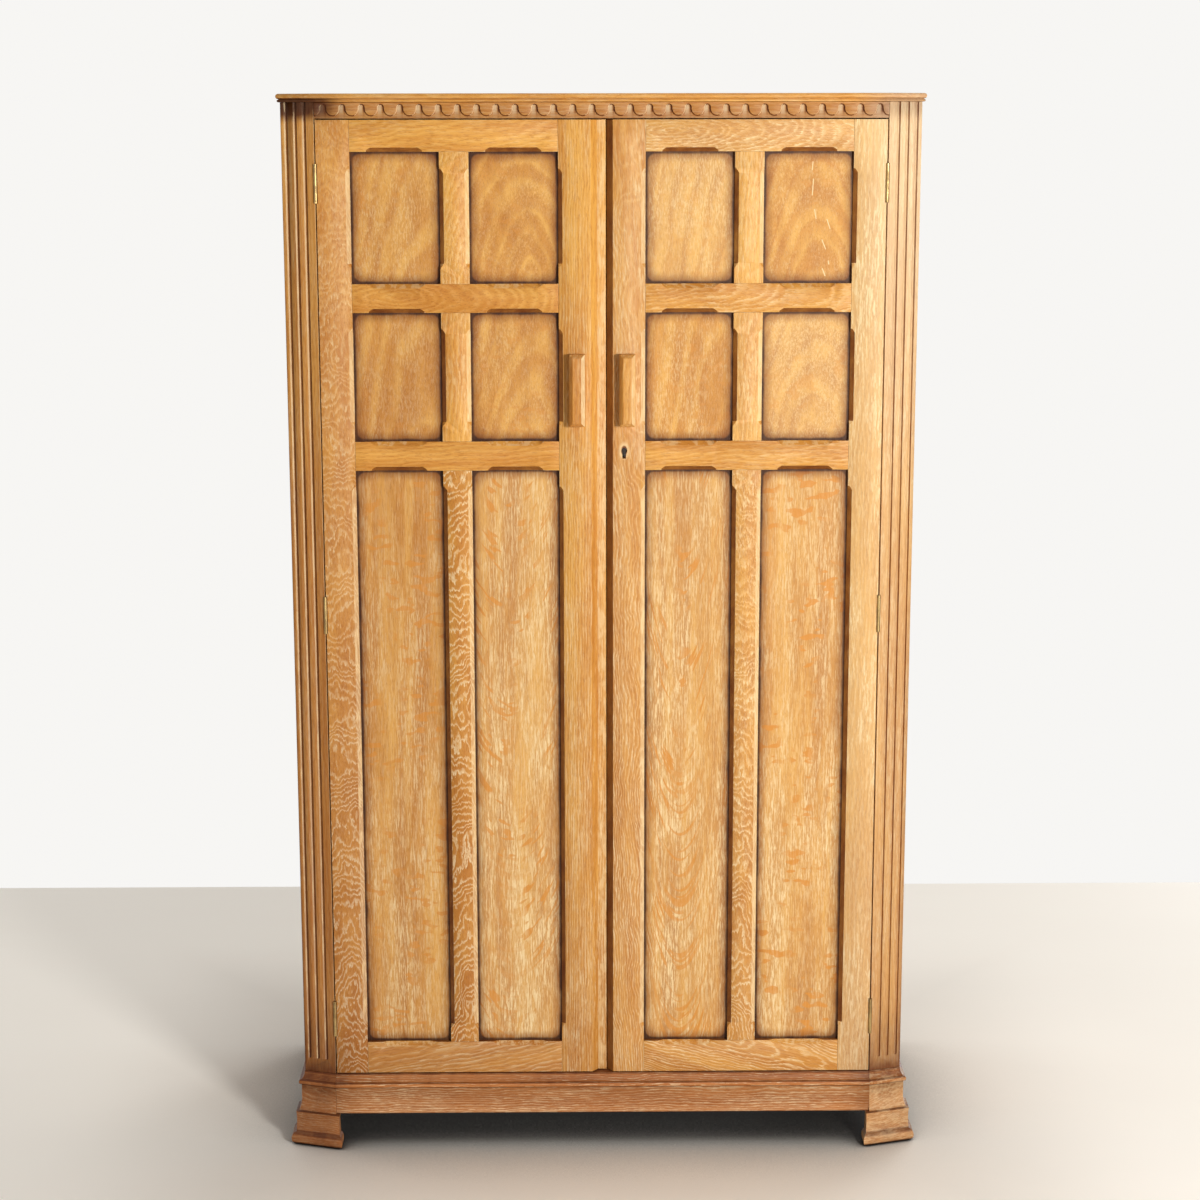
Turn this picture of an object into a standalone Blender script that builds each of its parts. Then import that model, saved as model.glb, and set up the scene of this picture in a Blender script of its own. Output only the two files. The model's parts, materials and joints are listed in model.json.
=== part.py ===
# Oak double wardrobe: two framed and panelled doors between splayed, fluted
# corner posts, a carved frieze under a moulded top, and a plinth on bracket feet.
# Metres, +Z up. The front faces -Y and the floor is at Z = 0.
# Handed pieces are drawn on the right-hand side and mirrored for the left.

import math

import bmesh
import bpy
from mathutils import Matrix, Vector

# Clearances
SEAT_GAP = 0.0003
DOOR_GAP = 0.002
HINGE_GAP = 0.002
MEETING_GAP = 0.0015
SLIDE_GAP = 0.0004

# Doors: members across the width
DOOR_THICKNESS = 0.022
HINGE_STILE_WIDTH = 0.055
PANEL_WIDTH = 0.147
MUNTIN_WIDTH = 0.0485
MEETING_FACE = 0.054
MEETING_BEVEL_WIDTH = 0.010
MEETING_BEVEL_DEPTH = 0.012
LEFT_LIP_WIDTH = 0.0145

# Doors: members up the height
BOTTOM_RAIL_HEIGHT = 0.0565
LOWER_PANEL_HEIGHT = 1.0145
LOWER_CROSS_RAIL_HEIGHT = 0.0489
MIDDLE_PANEL_HEIGHT = 0.2151
UPPER_CROSS_RAIL_HEIGHT = 0.0475
UPPER_PANEL_HEIGHT = 0.2155
TOP_RAIL_HEIGHT = 0.0515

# Doors: panels and joints
PANEL_RECESS = 0.009
PANEL_THICKNESS = 0.005
GROOVE_DEPTH = 0.009
GROOVE_FLOOR_GAP = 0.0006
TENON_THICKNESS = 0.007
TENON_LENGTH = 0.025
TENON_SHOULDER = 0.012
STUB_LENGTH = 0.008
STUB_THICKNESS = 0.004
STUB_SHOULDER = 0.010

# Stopped chamfers round the panels, with a lamb's tongue at each end
CHAMFER_WIDTH = 0.0070
CHAMFER_DEPTH = 0.0062
CHAMFER_STOP = 0.022
LAMBS_TONGUE_LENGTH = 0.014
LAMBS_TONGUE_STEPS = 5
CHAMFER_FADE = 0.05

# Handles
HANDLE_WIDTH = 0.0275
HANDLE_HEIGHT = 0.121
HANDLE_PROJECTION = 0.024
HANDLE_BEVEL = 0.006
HANDLE_INSET = 0.030
HANDLE_RISE = 0.026

# Keyhole and lock
KEYHOLE_INSET = 0.035
KEYHOLE_DROP = 0.042
KEYHOLE_RADIUS = 0.0048
KEYHOLE_SLOT_WIDTH = 0.0062
KEYHOLE_LENGTH = 0.0135
LOCK_WIDTH = 0.050
LOCK_HEIGHT = 0.052
LOCK_DEPTH = 0.013
LOCK_SET_BACK = 0.0045
LOCK_KEY_DEPTH = 0.008
LOCK_BOLT_LENGTH = 0.036
LOCK_BOLT_HEIGHT = 0.010
LOCK_BOLT_THICKNESS = 0.005
LOCK_BOLT_RISE = 0.011
LOCK_BOLT_DEPTH = 0.0035
LOCK_BOLT_PROUD = 0.002

# Bolt that holds the left door to the frieze rail
DOOR_BOLT_WIDTH = 0.012
DOOR_BOLT_THICKNESS = 0.004
DOOR_BOLT_LENGTH = 0.120
DOOR_BOLT_INSET = 0.015
DOOR_BOLT_BURY = 0.006
DOOR_BOLT_THROW = 0.012
BOLT_STEM_WIDTH = 0.005
BOLT_STEM_DROP = 0.085
BOLT_KNOB_SIZE = 0.012
BOLT_KNOB_DEPTH = 0.007

# Butt hinges
HINGE_HEIGHT = 0.0635
HINGE_LEAF_WIDTH = 0.020
HINGE_LEAF_THICKNESS = 0.0015
HINGE_LEAF_SINK = 0.0008
HINGE_KNUCKLE_RADIUS = 0.0029
HINGE_PIN_RADIUS = 0.0011
HINGE_PIN_FORWARD = 0.001
HINGE_KNUCKLES = 5
TOP_HINGE_DROP = 0.103
BOTTOM_HINGE_RISE = 0.101

# Corner posts
POST_WIDTH = 0.056
POST_DEPTH = 0.045
SPLAY_ANGLE = math.radians(17.5)
FLUTE_COUNT = 3
FLUTE_FIRST = 0.0169
FLUTE_PITCH = 0.0162
FLUTE_RADIUS = 0.0031
FLUTE_DEPTH = 0.0027
FLUTE_STOP = 0.024

# Carcase
OVERALL_DEPTH = 0.510
SIDE_THICKNESS = 0.016
SIDE_TONGUE_THICKNESS = 0.006
SIDE_TONGUE_LENGTH = 0.008
BACK_THICKNESS = 0.005
BACK_REBATE = 0.008
BOTTOM_THICKNESS = 0.016
SHELF_THICKNESS = 0.016
SHELF_CLEAR = 0.300
HOUSING_DEPTH = 0.006
STOP_GAP = 0.0015

# Hanging rail
HANGING_RAIL_RADIUS = 0.0125
HANGING_RAIL_DROP = 0.060
SOCKET_RADIUS = 0.024
SOCKET_FLANGE = 0.004
SOCKET_CUP_RADIUS = 0.0165
SOCKET_DEPTH = 0.016

# Frieze rail
FRIEZE_HEIGHT = 0.026
FRIEZE_DEPTH = 0.022
FRIEZE_TENON_LENGTH = 0.020
FRIEZE_TENON_SHOULDER = 0.005
FRIEZE_SLOTS = 30
FRIEZE_SLOT_WIDTH = 0.0102
FRIEZE_SLOT_TOP = 0.0030
FRIEZE_BAND = 0.0045
FRIEZE_RELIEF = 0.003
FRIEZE_HEAD_STEPS = 6
FRIEZE_TONGUE_STEPS = 4

# Moulded top
TOP_THICKNESS = 0.0138
TOP_BEAD_HEIGHT = 0.0042
TOP_BEAD_OUT = 0.0048
TOP_QUIRK = 0.0008
TOP_NOSING_OUT = 0.0068

# Plinth
PLINTH_HEIGHT = 0.0715
PLINTH_OUT = 0.0065
PLINTH_RAIL_THICKNESS = 0.045
PLINTH_SIDE_THICKNESS = 0.022
PLINTH_COVE_HEIGHT = 0.015
PLINTH_COVE_OUT = 0.0090
PLINTH_COVE_TOP = 0.0005
PLINTH_BEAD_HEIGHT = 0.008
PLINTH_BEAD_OUT = 0.0110
PLINTH_QUIRK = 0.0006
PLINTH_TENON_LENGTH = 0.018
PLINTH_TENON_THICKNESS = 0.010
PLINTH_TENON_SHOULDER = 0.014
PLINTH_TENON_SET = 0.006

# Feet with their corner blocks
FOOT_HEIGHT = 0.0600
FRONT_BLOCK_DEPTH = 0.050
REAR_BLOCK_DEPTH = 0.060
CAVETTO_HEIGHT = 0.0200
CAVETTO_OUT = 0.0080
FOOT_TOP_OUT = 0.0100
FOOT_TOE_OUT = 0.0190
FOOT_TOE_HEIGHT = 0.0100
FOOT_ROLL_HEIGHT = 0.0120
FOOT_ANKLE_OUT = 0.0105
FOOT_SHIN_HOLLOW = 0.0012
FOOT_BASE_OUT = 0.0090
FOOT_INNER_SET = 0.0040
FOOT_INNER_FLARE = 0.55
FOOT_BRACKET_DEPTH = 0.0060
FOOT_NOTCH_WIDTH = 0.0200
FOOT_NOTCH_DROP = 0.0060

# Places that follow from the sizes above
LEFT_DOOR_WIDTH = (
    HINGE_STILE_WIDTH + 2 * PANEL_WIDTH + MUNTIN_WIDTH
    + MEETING_FACE + MEETING_BEVEL_WIDTH + LEFT_LIP_WIDTH
)
RIGHT_DOOR_WIDTH = (
    HINGE_STILE_WIDTH + 2 * PANEL_WIDTH + MUNTIN_WIDTH
    + MEETING_FACE + MEETING_BEVEL_WIDTH
)
HALF_OPENING = (LEFT_DOOR_WIDTH + RIGHT_DOOR_WIDTH + MEETING_GAP) / 2 + HINGE_GAP
HALF_WIDTH = HALF_OPENING + POST_WIDTH
HINGE_EDGE = HALF_OPENING - HINGE_GAP
HINGE_AXIS_X = HALF_OPENING - HINGE_GAP / 2

PLINTH_TOP = FOOT_HEIGHT + PLINTH_HEIGHT
CARCASE_BOTTOM = PLINTH_TOP + SEAT_GAP
DOOR_BOTTOM = PLINTH_TOP + DOOR_GAP
LOWER_PANEL_BOTTOM = DOOR_BOTTOM + BOTTOM_RAIL_HEIGHT
LOWER_PANEL_TOP = LOWER_PANEL_BOTTOM + LOWER_PANEL_HEIGHT
MIDDLE_PANEL_BOTTOM = LOWER_PANEL_TOP + LOWER_CROSS_RAIL_HEIGHT
MIDDLE_PANEL_TOP = MIDDLE_PANEL_BOTTOM + MIDDLE_PANEL_HEIGHT
UPPER_PANEL_BOTTOM = MIDDLE_PANEL_TOP + UPPER_CROSS_RAIL_HEIGHT
UPPER_PANEL_TOP = UPPER_PANEL_BOTTOM + UPPER_PANEL_HEIGHT
DOOR_TOP = UPPER_PANEL_TOP + TOP_RAIL_HEIGHT
FRIEZE_BOTTOM = DOOR_TOP + DOOR_GAP
FRIEZE_TOP = FRIEZE_BOTTOM + FRIEZE_HEIGHT
TOP_BOTTOM = FRIEZE_TOP + SEAT_GAP
TOP_FACE = TOP_BOTTOM + TOP_THICKNESS

INNER_TOP_OUT = FOOT_TOP_OUT - FOOT_INNER_SET
INNER_TOE_OUT = INNER_TOP_OUT + FOOT_INNER_FLARE * (FOOT_TOE_OUT - FOOT_TOP_OUT)
TOE_REACH = (
    (PLINTH_OUT + FOOT_TOE_OUT) / math.cos(SPLAY_ANGLE)
    + INNER_TOE_OUT * math.tan(SPLAY_ANGLE)
)
DOOR_FACE = TOE_REACH - OVERALL_DEPTH / 2
DOOR_BACK = DOOR_FACE + DOOR_THICKNESS
BACK_FACE = OVERALL_DEPTH / 2
SPLAY_SET = POST_WIDTH * math.tan(SPLAY_ANGLE)
POST_BACK = DOOR_FACE + POST_DEPTH
HINGE_AXIS_Y = DOOR_FACE - HINGE_PIN_FORWARD
PANEL_INNER_FACE = HALF_WIDTH - SIDE_THICKNESS
FRONT_BLOCK_BACK = DOOR_FACE + FRONT_BLOCK_DEPTH
REAR_BLOCK_FRONT = BACK_FACE - REAR_BLOCK_DEPTH
BACK_PANEL_FRONT = BACK_FACE - BACK_THICKNESS
SHELF_TOP = FRIEZE_TOP - SHELF_CLEAR

GROOVE_CENTRE = PANEL_RECESS + PANEL_THICKNESS / 2
MEETING_STILE_START = HINGE_STILE_WIDTH + 2 * PANEL_WIDTH + MUNTIN_WIDTH
MUNTIN_START = HINGE_STILE_WIDTH + PANEL_WIDTH
HANDLE_BOTTOM = MIDDLE_PANEL_BOTTOM + HANDLE_RISE
KEYHOLE_HEIGHT = HANDLE_BOTTOM - KEYHOLE_DROP
HINGE_HEIGHTS = {
    "top": DOOR_TOP - TOP_HINGE_DROP,
    "middle": (DOOR_TOP - TOP_HINGE_DROP + DOOR_BOTTOM + BOTTOM_HINGE_RISE) / 2,
    "bottom": DOOR_BOTTOM + BOTTOM_HINGE_RISE,
}
PANELS = {
    "lower": (LOWER_PANEL_BOTTOM, LOWER_PANEL_TOP),
    "middle": (MIDDLE_PANEL_BOTTOM, MIDDLE_PANEL_TOP),
    "upper": (UPPER_PANEL_BOTTOM, UPPER_PANEL_TOP),
}
RAILS = {
    "bottom_rail": (DOOR_BOTTOM, LOWER_PANEL_BOTTOM),
    "lower_cross_rail": (LOWER_PANEL_TOP, MIDDLE_PANEL_BOTTOM),
    "upper_cross_rail": (MIDDLE_PANEL_TOP, UPPER_PANEL_BOTTOM),
    "top_rail": (UPPER_PANEL_TOP, DOOR_TOP),
}
PANEL_COLUMNS = (
    (HINGE_STILE_WIDTH, MUNTIN_START),
    (MUNTIN_START + MUNTIN_WIDTH, MEETING_STILE_START),
)
SIDES = {"left": -1, "right": 1}
OVERCUT = 0.002

for leftover in list(bpy.data.objects):
    bpy.data.objects.remove(leftover, do_unlink=True)

parts = bpy.data.collections.new("wardrobe")
cutters = bpy.data.collections.new("wardrobe_cutters")
bpy.context.scene.collection.children.link(parts)
bpy.context.scene.collection.children.link(cutters)


def make_material(name, colour, roughness, metallic=0.0):
    material = bpy.data.materials.new(name)
    material.use_nodes = True
    shader = material.node_tree.nodes["Principled BSDF"]
    shader.inputs["Base Color"].default_value = (*colour, 1.0)
    shader.inputs["Roughness"].default_value = roughness
    shader.inputs["Metallic"].default_value = metallic
    material.diffuse_color = (*colour, 1.0)
    return material


frame_oak = make_material("frame_oak", (0.56, 0.30, 0.10), 0.42)
panel_oak = make_material("panel_oak", (0.52, 0.26, 0.08), 0.40)
plinth_oak = make_material("plinth_oak", (0.42, 0.19, 0.07), 0.45)
carcase_wood = make_material("carcase_wood", (0.50, 0.31, 0.15), 0.55)
brass = make_material("brass", (0.60, 0.42, 0.16), 0.38, 1.0)
steel = make_material("steel", (0.42, 0.40, 0.38), 0.40, 1.0)


def mesh_from(bm, name):
    bmesh.ops.recalc_face_normals(bm, faces=bm.faces)
    mesh = bpy.data.meshes.new(name)
    bm.to_mesh(mesh)
    bm.free()
    return mesh


def mirror_to(bm, side):
    if side < 0:
        bmesh.ops.scale(bm, vec=(-1, 1, 1), verts=bm.verts)
        bmesh.ops.reverse_faces(bm, faces=bm.faces)


def add_part(name, shape, material, origin=(0, 0, 0), parent=None):
    if isinstance(shape, bmesh.types.BMesh):
        bmesh.ops.translate(shape, vec=-Vector(origin), verts=shape.verts)
        shape = mesh_from(shape, name)
    part = bpy.data.objects.new(name, shape)
    parts.objects.link(part)
    if not shape.materials:
        shape.materials.append(material)
    part.location = Vector(origin)
    if parent:
        part.parent = parent
        part.location = Vector(origin) - parent.location
    return part


def add_pivot(name, place):
    pivot = bpy.data.objects.new(name, None)
    pivot.empty_display_size = 0.05
    pivot.location = place
    parts.objects.link(pivot)
    return pivot


def combine(part, bm, label, operation):
    name = f"{part.name}_{label}"
    tool = bpy.data.objects.new(name, mesh_from(bm, name))
    tool.hide_render = True
    tool.display_type = "WIRE"
    cutters.objects.link(tool)
    modifier = part.modifiers.new(label, "BOOLEAN")
    modifier.operation = operation
    modifier.solver = "EXACT"
    modifier.object = tool


def cut(part, bm, label):
    combine(part, bm, label, "DIFFERENCE")


def fuse(part, bm, label):
    combine(part, bm, label, "UNION")


def add_box(bm, x, y, z):
    low = Vector((min(x), min(y), min(z)))
    high = Vector((max(x), max(y), max(z)))
    size = high - low
    place = Matrix.Translation((low + high) / 2) @ Matrix.Diagonal((*size, 1))
    bmesh.ops.create_cube(bm, size=1.0, matrix=place)


def box(x, y, z):
    bm = bmesh.new()
    add_box(bm, x, y, z)
    return bm


def add_rod(bm, radius, start, end, segments=12):
    start = Vector(start)
    along = Vector(end) - start
    turn = along.to_track_quat("Z", "Y").to_matrix().to_4x4()
    place = Matrix.Translation(start + along / 2) @ turn
    bmesh.ops.create_cone(
        bm, cap_ends=True, segments=segments, radius1=radius, radius2=radius,
        depth=along.length, matrix=place,
    )


def add_loft(bm, rings):
    rows = [[bm.verts.new(point) for point in ring] for ring in rings]
    count = len(rings[0])
    for lower, upper in zip(rows, rows[1:]):
        for i in range(count):
            j = (i + 1) % count
            bm.faces.new((lower[i], lower[j], upper[j], upper[i]))
    bm.faces.new(list(reversed(rows[0])))
    bm.faces.new(rows[-1])


def outline_solid(points, depth):
    # A flat outline in X and Y, given thickness from Z = 0 up to its depth.
    curve = bpy.data.curves.new("outline", "CURVE")
    curve.dimensions = "2D"
    curve.fill_mode = "BOTH"
    curve.extrude = depth / 2
    spline = curve.splines.new("POLY")
    spline.points.add(len(points) - 1)
    for point, (x, y) in zip(spline.points, points):
        point.co = (x, y, 0, 1)
    spline.use_cyclic_u = True
    holder = bpy.data.objects.new("outline", curve)
    cutters.objects.link(holder)
    bpy.context.view_layer.update()
    graph = bpy.context.evaluated_depsgraph_get()
    mesh = bpy.data.meshes.new_from_object(holder.evaluated_get(graph))
    bm = bmesh.new()
    bm.from_mesh(mesh)
    bmesh.ops.remove_doubles(bm, verts=bm.verts, dist=1e-6)
    bmesh.ops.translate(bm, vec=(0, 0, depth / 2), verts=bm.verts)
    bpy.data.objects.remove(holder, do_unlink=True)
    bpy.data.curves.remove(curve)
    bpy.data.meshes.remove(mesh)
    return bm


def outline_facing_front(points, front, depth):
    # The outline's X and Y become X and Z, and its thickness runs back from the front.
    bm = outline_solid(points, depth)
    turn = Matrix.Rotation(math.radians(90), 4, "X")
    bmesh.ops.transform(bm, matrix=turn, verts=bm.verts)
    bmesh.ops.translate(bm, vec=(0, front + depth, 0), verts=bm.verts)
    return bm


def offset_outline(points, offsets):
    # Each side of a counter-clockwise outline moves out by its own offset.
    moved = []
    count = len(points)
    for i in range(count):
        here = Vector(points[i])
        before = (here - Vector(points[i - 1])).normalized()
        after = (Vector(points[(i + 1) % count]) - here).normalized()
        n0 = Vector((before.y, -before.x))
        n1 = Vector((after.y, -after.x))
        d0 = offsets[i - 1]
        d1 = offsets[i]
        det = n0.x * n1.y - n0.y * n1.x
        moved.append((here.x + (d0 * n1.y - d1 * n0.y) / det,
                      here.y + (n0.x * d1 - n1.x * d0) / det))
    return moved


def moulded(points, levels):
    # A plan outline that swells and shrinks with height, one offset for each side.
    bm = bmesh.new()
    rings = []
    for height, offsets in levels:
        ring = offset_outline(points, offsets)
        rings.append([(x, y, height) for x, y in ring])
    add_loft(bm, rings)
    return bm


def plinth_moulding():
    # Bead, then cove, from the plinth's flat face up to its top.
    bead_low = PLINTH_TOP - PLINTH_COVE_HEIGHT - PLINTH_BEAD_HEIGHT
    profile = [(bead_low - PLINTH_QUIRK, PLINTH_OUT)]
    swell = PLINTH_BEAD_OUT - PLINTH_COVE_OUT
    for i in range(6):
        turn = math.pi * i / 5
        height = bead_low + PLINTH_BEAD_HEIGHT * (1 - math.cos(turn)) / 2
        profile.append((height, PLINTH_COVE_OUT + swell * math.sin(turn)))
    for i in range(1, 6):
        turn = math.pi / 2 * i / 5
        sweep = (PLINTH_COVE_OUT - PLINTH_COVE_TOP) * math.sin(turn)
        height = PLINTH_TOP - PLINTH_COVE_HEIGHT * math.cos(turn)
        profile.append((height, PLINTH_COVE_OUT - sweep))
    return profile


def foot_profile():
    # From the floor up: a rolled toe, a crease at the ankle, then a slightly hollow shin.
    profile = []
    for i in range(4):
        turn = math.pi / 2 * i / 3
        lift = FOOT_TOE_HEIGHT * (1 - math.cos(turn))
        profile.append((lift, FOOT_BASE_OUT + (FOOT_TOE_OUT - FOOT_BASE_OUT) * math.sin(turn)))
    for i in range(1, 5):
        turn = math.pi / 2 * i / 4
        lift = FOOT_TOE_HEIGHT + FOOT_ROLL_HEIGHT * math.sin(turn)
        profile.append((lift, FOOT_ANKLE_OUT + (FOOT_TOE_OUT - FOOT_ANKLE_OUT) * math.cos(turn)))
    ankle = FOOT_TOE_HEIGHT + FOOT_ROLL_HEIGHT
    rise = FOOT_HEIGHT - SEAT_GAP - ankle
    for i in range(1, 6):
        part = i / 5
        out = FOOT_ANKLE_OUT + (FOOT_TOP_OUT - FOOT_ANKLE_OUT) * part
        profile.append((ankle + rise * part, out - FOOT_SHIN_HOLLOW * math.sin(math.pi * part)))
    return profile


def block_levels(returns):
    # A foot and the block above it. The last argument says which sides take the
    # foot's profile, the block's mouldings, or stay plain.
    levels = []
    for height, out in foot_profile():
        inner = INNER_TOP_OUT + FOOT_INNER_FLARE * (out - FOOT_TOP_OUT)
        reach = {"outer": PLINTH_OUT + out, "inner": inner, "plain": 0.0}
        levels.append((height, [reach[kind] for kind in returns]))
    for i in range(6):
        turn = math.pi / 2 * (1 - i / 5)
        out = PLINTH_OUT + CAVETTO_OUT * (1 - math.cos(turn))
        height = FOOT_HEIGHT + CAVETTO_HEIGHT * (1 - math.sin(turn))
        levels.append((height, [out if kind == "outer" else 0.0 for kind in returns]))
    for height, out in plinth_moulding():
        levels.append((height, [out if kind == "outer" else 0.0 for kind in returns]))
    return levels


def door_box(across, deep, high):
    # Across is measured from the hinge edge and deep from the door's face.
    bm = bmesh.new()
    add_door_box(bm, across, deep, high)
    return bm


def add_door_box(bm, across, deep, high):
    add_box(bm, [HINGE_EDGE - u for u in across], [DOOR_FACE + v for v in deep], high)


def tongue_ease(part):
    return part * part * (3 - 2 * part)


def add_chamfer(bm, start, end, into):
    # A wedge along an arris from start to end. Into points from the arris over
    # the member's face; the cut fades out at both ends in a lamb's tongue.
    start = Vector(start)
    along = (Vector(end) - start).normalized()
    length = (Vector(end) - start).length
    into = Vector(into)
    back = Vector((0, 1, 0))
    stations = []
    for i in range(LAMBS_TONGUE_STEPS + 1):
        part = i / LAMBS_TONGUE_STEPS
        share = tongue_ease(part) - CHAMFER_FADE * (1 - part)
        stations.append((CHAMFER_STOP + LAMBS_TONGUE_LENGTH * part, share))
    stations += [(length - place, share) for place, share in reversed(stations)]
    slope = CHAMFER_DEPTH / CHAMFER_WIDTH
    rings = []
    for place, share in stations:
        corner = start + along * place - into * OVERCUT - back * OVERCUT
        leg = CHAMFER_WIDTH * share + OVERCUT * (1 + 1 / slope)
        rings.append([corner, corner + into * leg, corner + back * leg * slope])
    add_loft(bm, rings)


def chamfers_up(across, into):
    # One chamfer for each panel up an upright member's edge.
    bm = bmesh.new()
    for low, high in PANELS.values():
        x = HINGE_EDGE - across
        add_chamfer(bm, (x, DOOR_FACE, low), (x, DOOR_FACE, high), (-into, 0, 0))
    return bm


def add_chamfers_along(bm, height, into):
    # One chamfer for each panel along a rail's edge.
    for near, far in PANEL_COLUMNS:
        start = (HINGE_EDGE - near, DOOR_FACE, height)
        end = (HINGE_EDGE - far, DOOR_FACE, height)
        add_chamfer(bm, start, end, (0, 0, into))


GROOVE_BAND = (PANEL_RECESS - SEAT_GAP, PANEL_RECESS + PANEL_THICKNESS + SEAT_GAP)
TENON_BAND = (GROOVE_CENTRE - TENON_THICKNESS / 2, GROOVE_CENTRE + TENON_THICKNESS / 2)
MORTISE_BAND = (TENON_BAND[0] - SEAT_GAP, TENON_BAND[1] + SEAT_GAP)
STUB_BAND = (
    (PANEL_RECESS - SEAT_GAP - STUB_THICKNESS) / 2,
    (PANEL_RECESS - SEAT_GAP + STUB_THICKNESS) / 2,
)


def stile_cuts(stile, edge, into, side):
    # The edge is where the panels meet the stile, and into points away from them.
    floor = edge + into * GROOVE_DEPTH
    mouth = edge - into * OVERCUT
    high = (LOWER_PANEL_BOTTOM - GROOVE_DEPTH, UPPER_PANEL_TOP + GROOVE_DEPTH)
    groove = door_box((floor, mouth), GROOVE_BAND, high)
    mortises = bmesh.new()
    bottom = edge + into * (TENON_LENGTH + SEAT_GAP)
    for low, top in RAILS.values():
        reach = (low + TENON_SHOULDER - SEAT_GAP, top - TENON_SHOULDER + SEAT_GAP)
        add_door_box(mortises, (bottom, mouth), MORTISE_BAND, reach)
    wedges = chamfers_up(edge, into)
    for bm, label in ((groove, "panel_groove"), (mortises, "mortises"), (wedges, "chamfers")):
        mirror_to(bm, side)
        cut(stile, bm, label)


def hinge_pockets(part, edge, into, side):
    # Sunk seats for the leaves, and notches that clear the knuckles.
    seats = bmesh.new()
    notches = bmesh.new()
    leaf_back = HINGE_AXIS_Y + HINGE_LEAF_WIDTH + SEAT_GAP
    clear = HINGE_KNUCKLE_RADIUS + SLIDE_GAP
    for height in HINGE_HEIGHTS.values():
        reach = HINGE_HEIGHT / 2 + SEAT_GAP
        high = (height - reach, height + reach)
        seat = edge + into * (HINGE_LEAF_SINK + SEAT_GAP)
        add_box(seats, (edge - into * OVERCUT, seat), (DOOR_FACE - OVERCUT, leaf_back), high)
        deep = HINGE_AXIS_X + into * clear
        add_box(notches, (edge - into * OVERCUT, deep),
                (DOOR_FACE - OVERCUT, HINGE_AXIS_Y + clear), high)
    for bm, label in ((seats, "hinge_seats"), (notches, "knuckle_notches")):
        mirror_to(bm, side)
        cut(part, bm, label)


def keyhole_outline(centre, height, gap=0.0):
    radius = KEYHOLE_RADIUS + gap
    half = KEYHOLE_SLOT_WIDTH / 2 + gap
    spread = math.acos(min(1.0, half / radius))
    points = []
    for i in range(13):
        turn = -spread + (math.pi + 2 * spread) * i / 12
        points.append((centre + radius * math.cos(turn), height + radius * math.sin(turn)))
    points.append((centre - half, height - KEYHOLE_LENGTH - gap))
    points.append((centre + half, height - KEYHOLE_LENGTH - gap))
    return points


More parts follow.
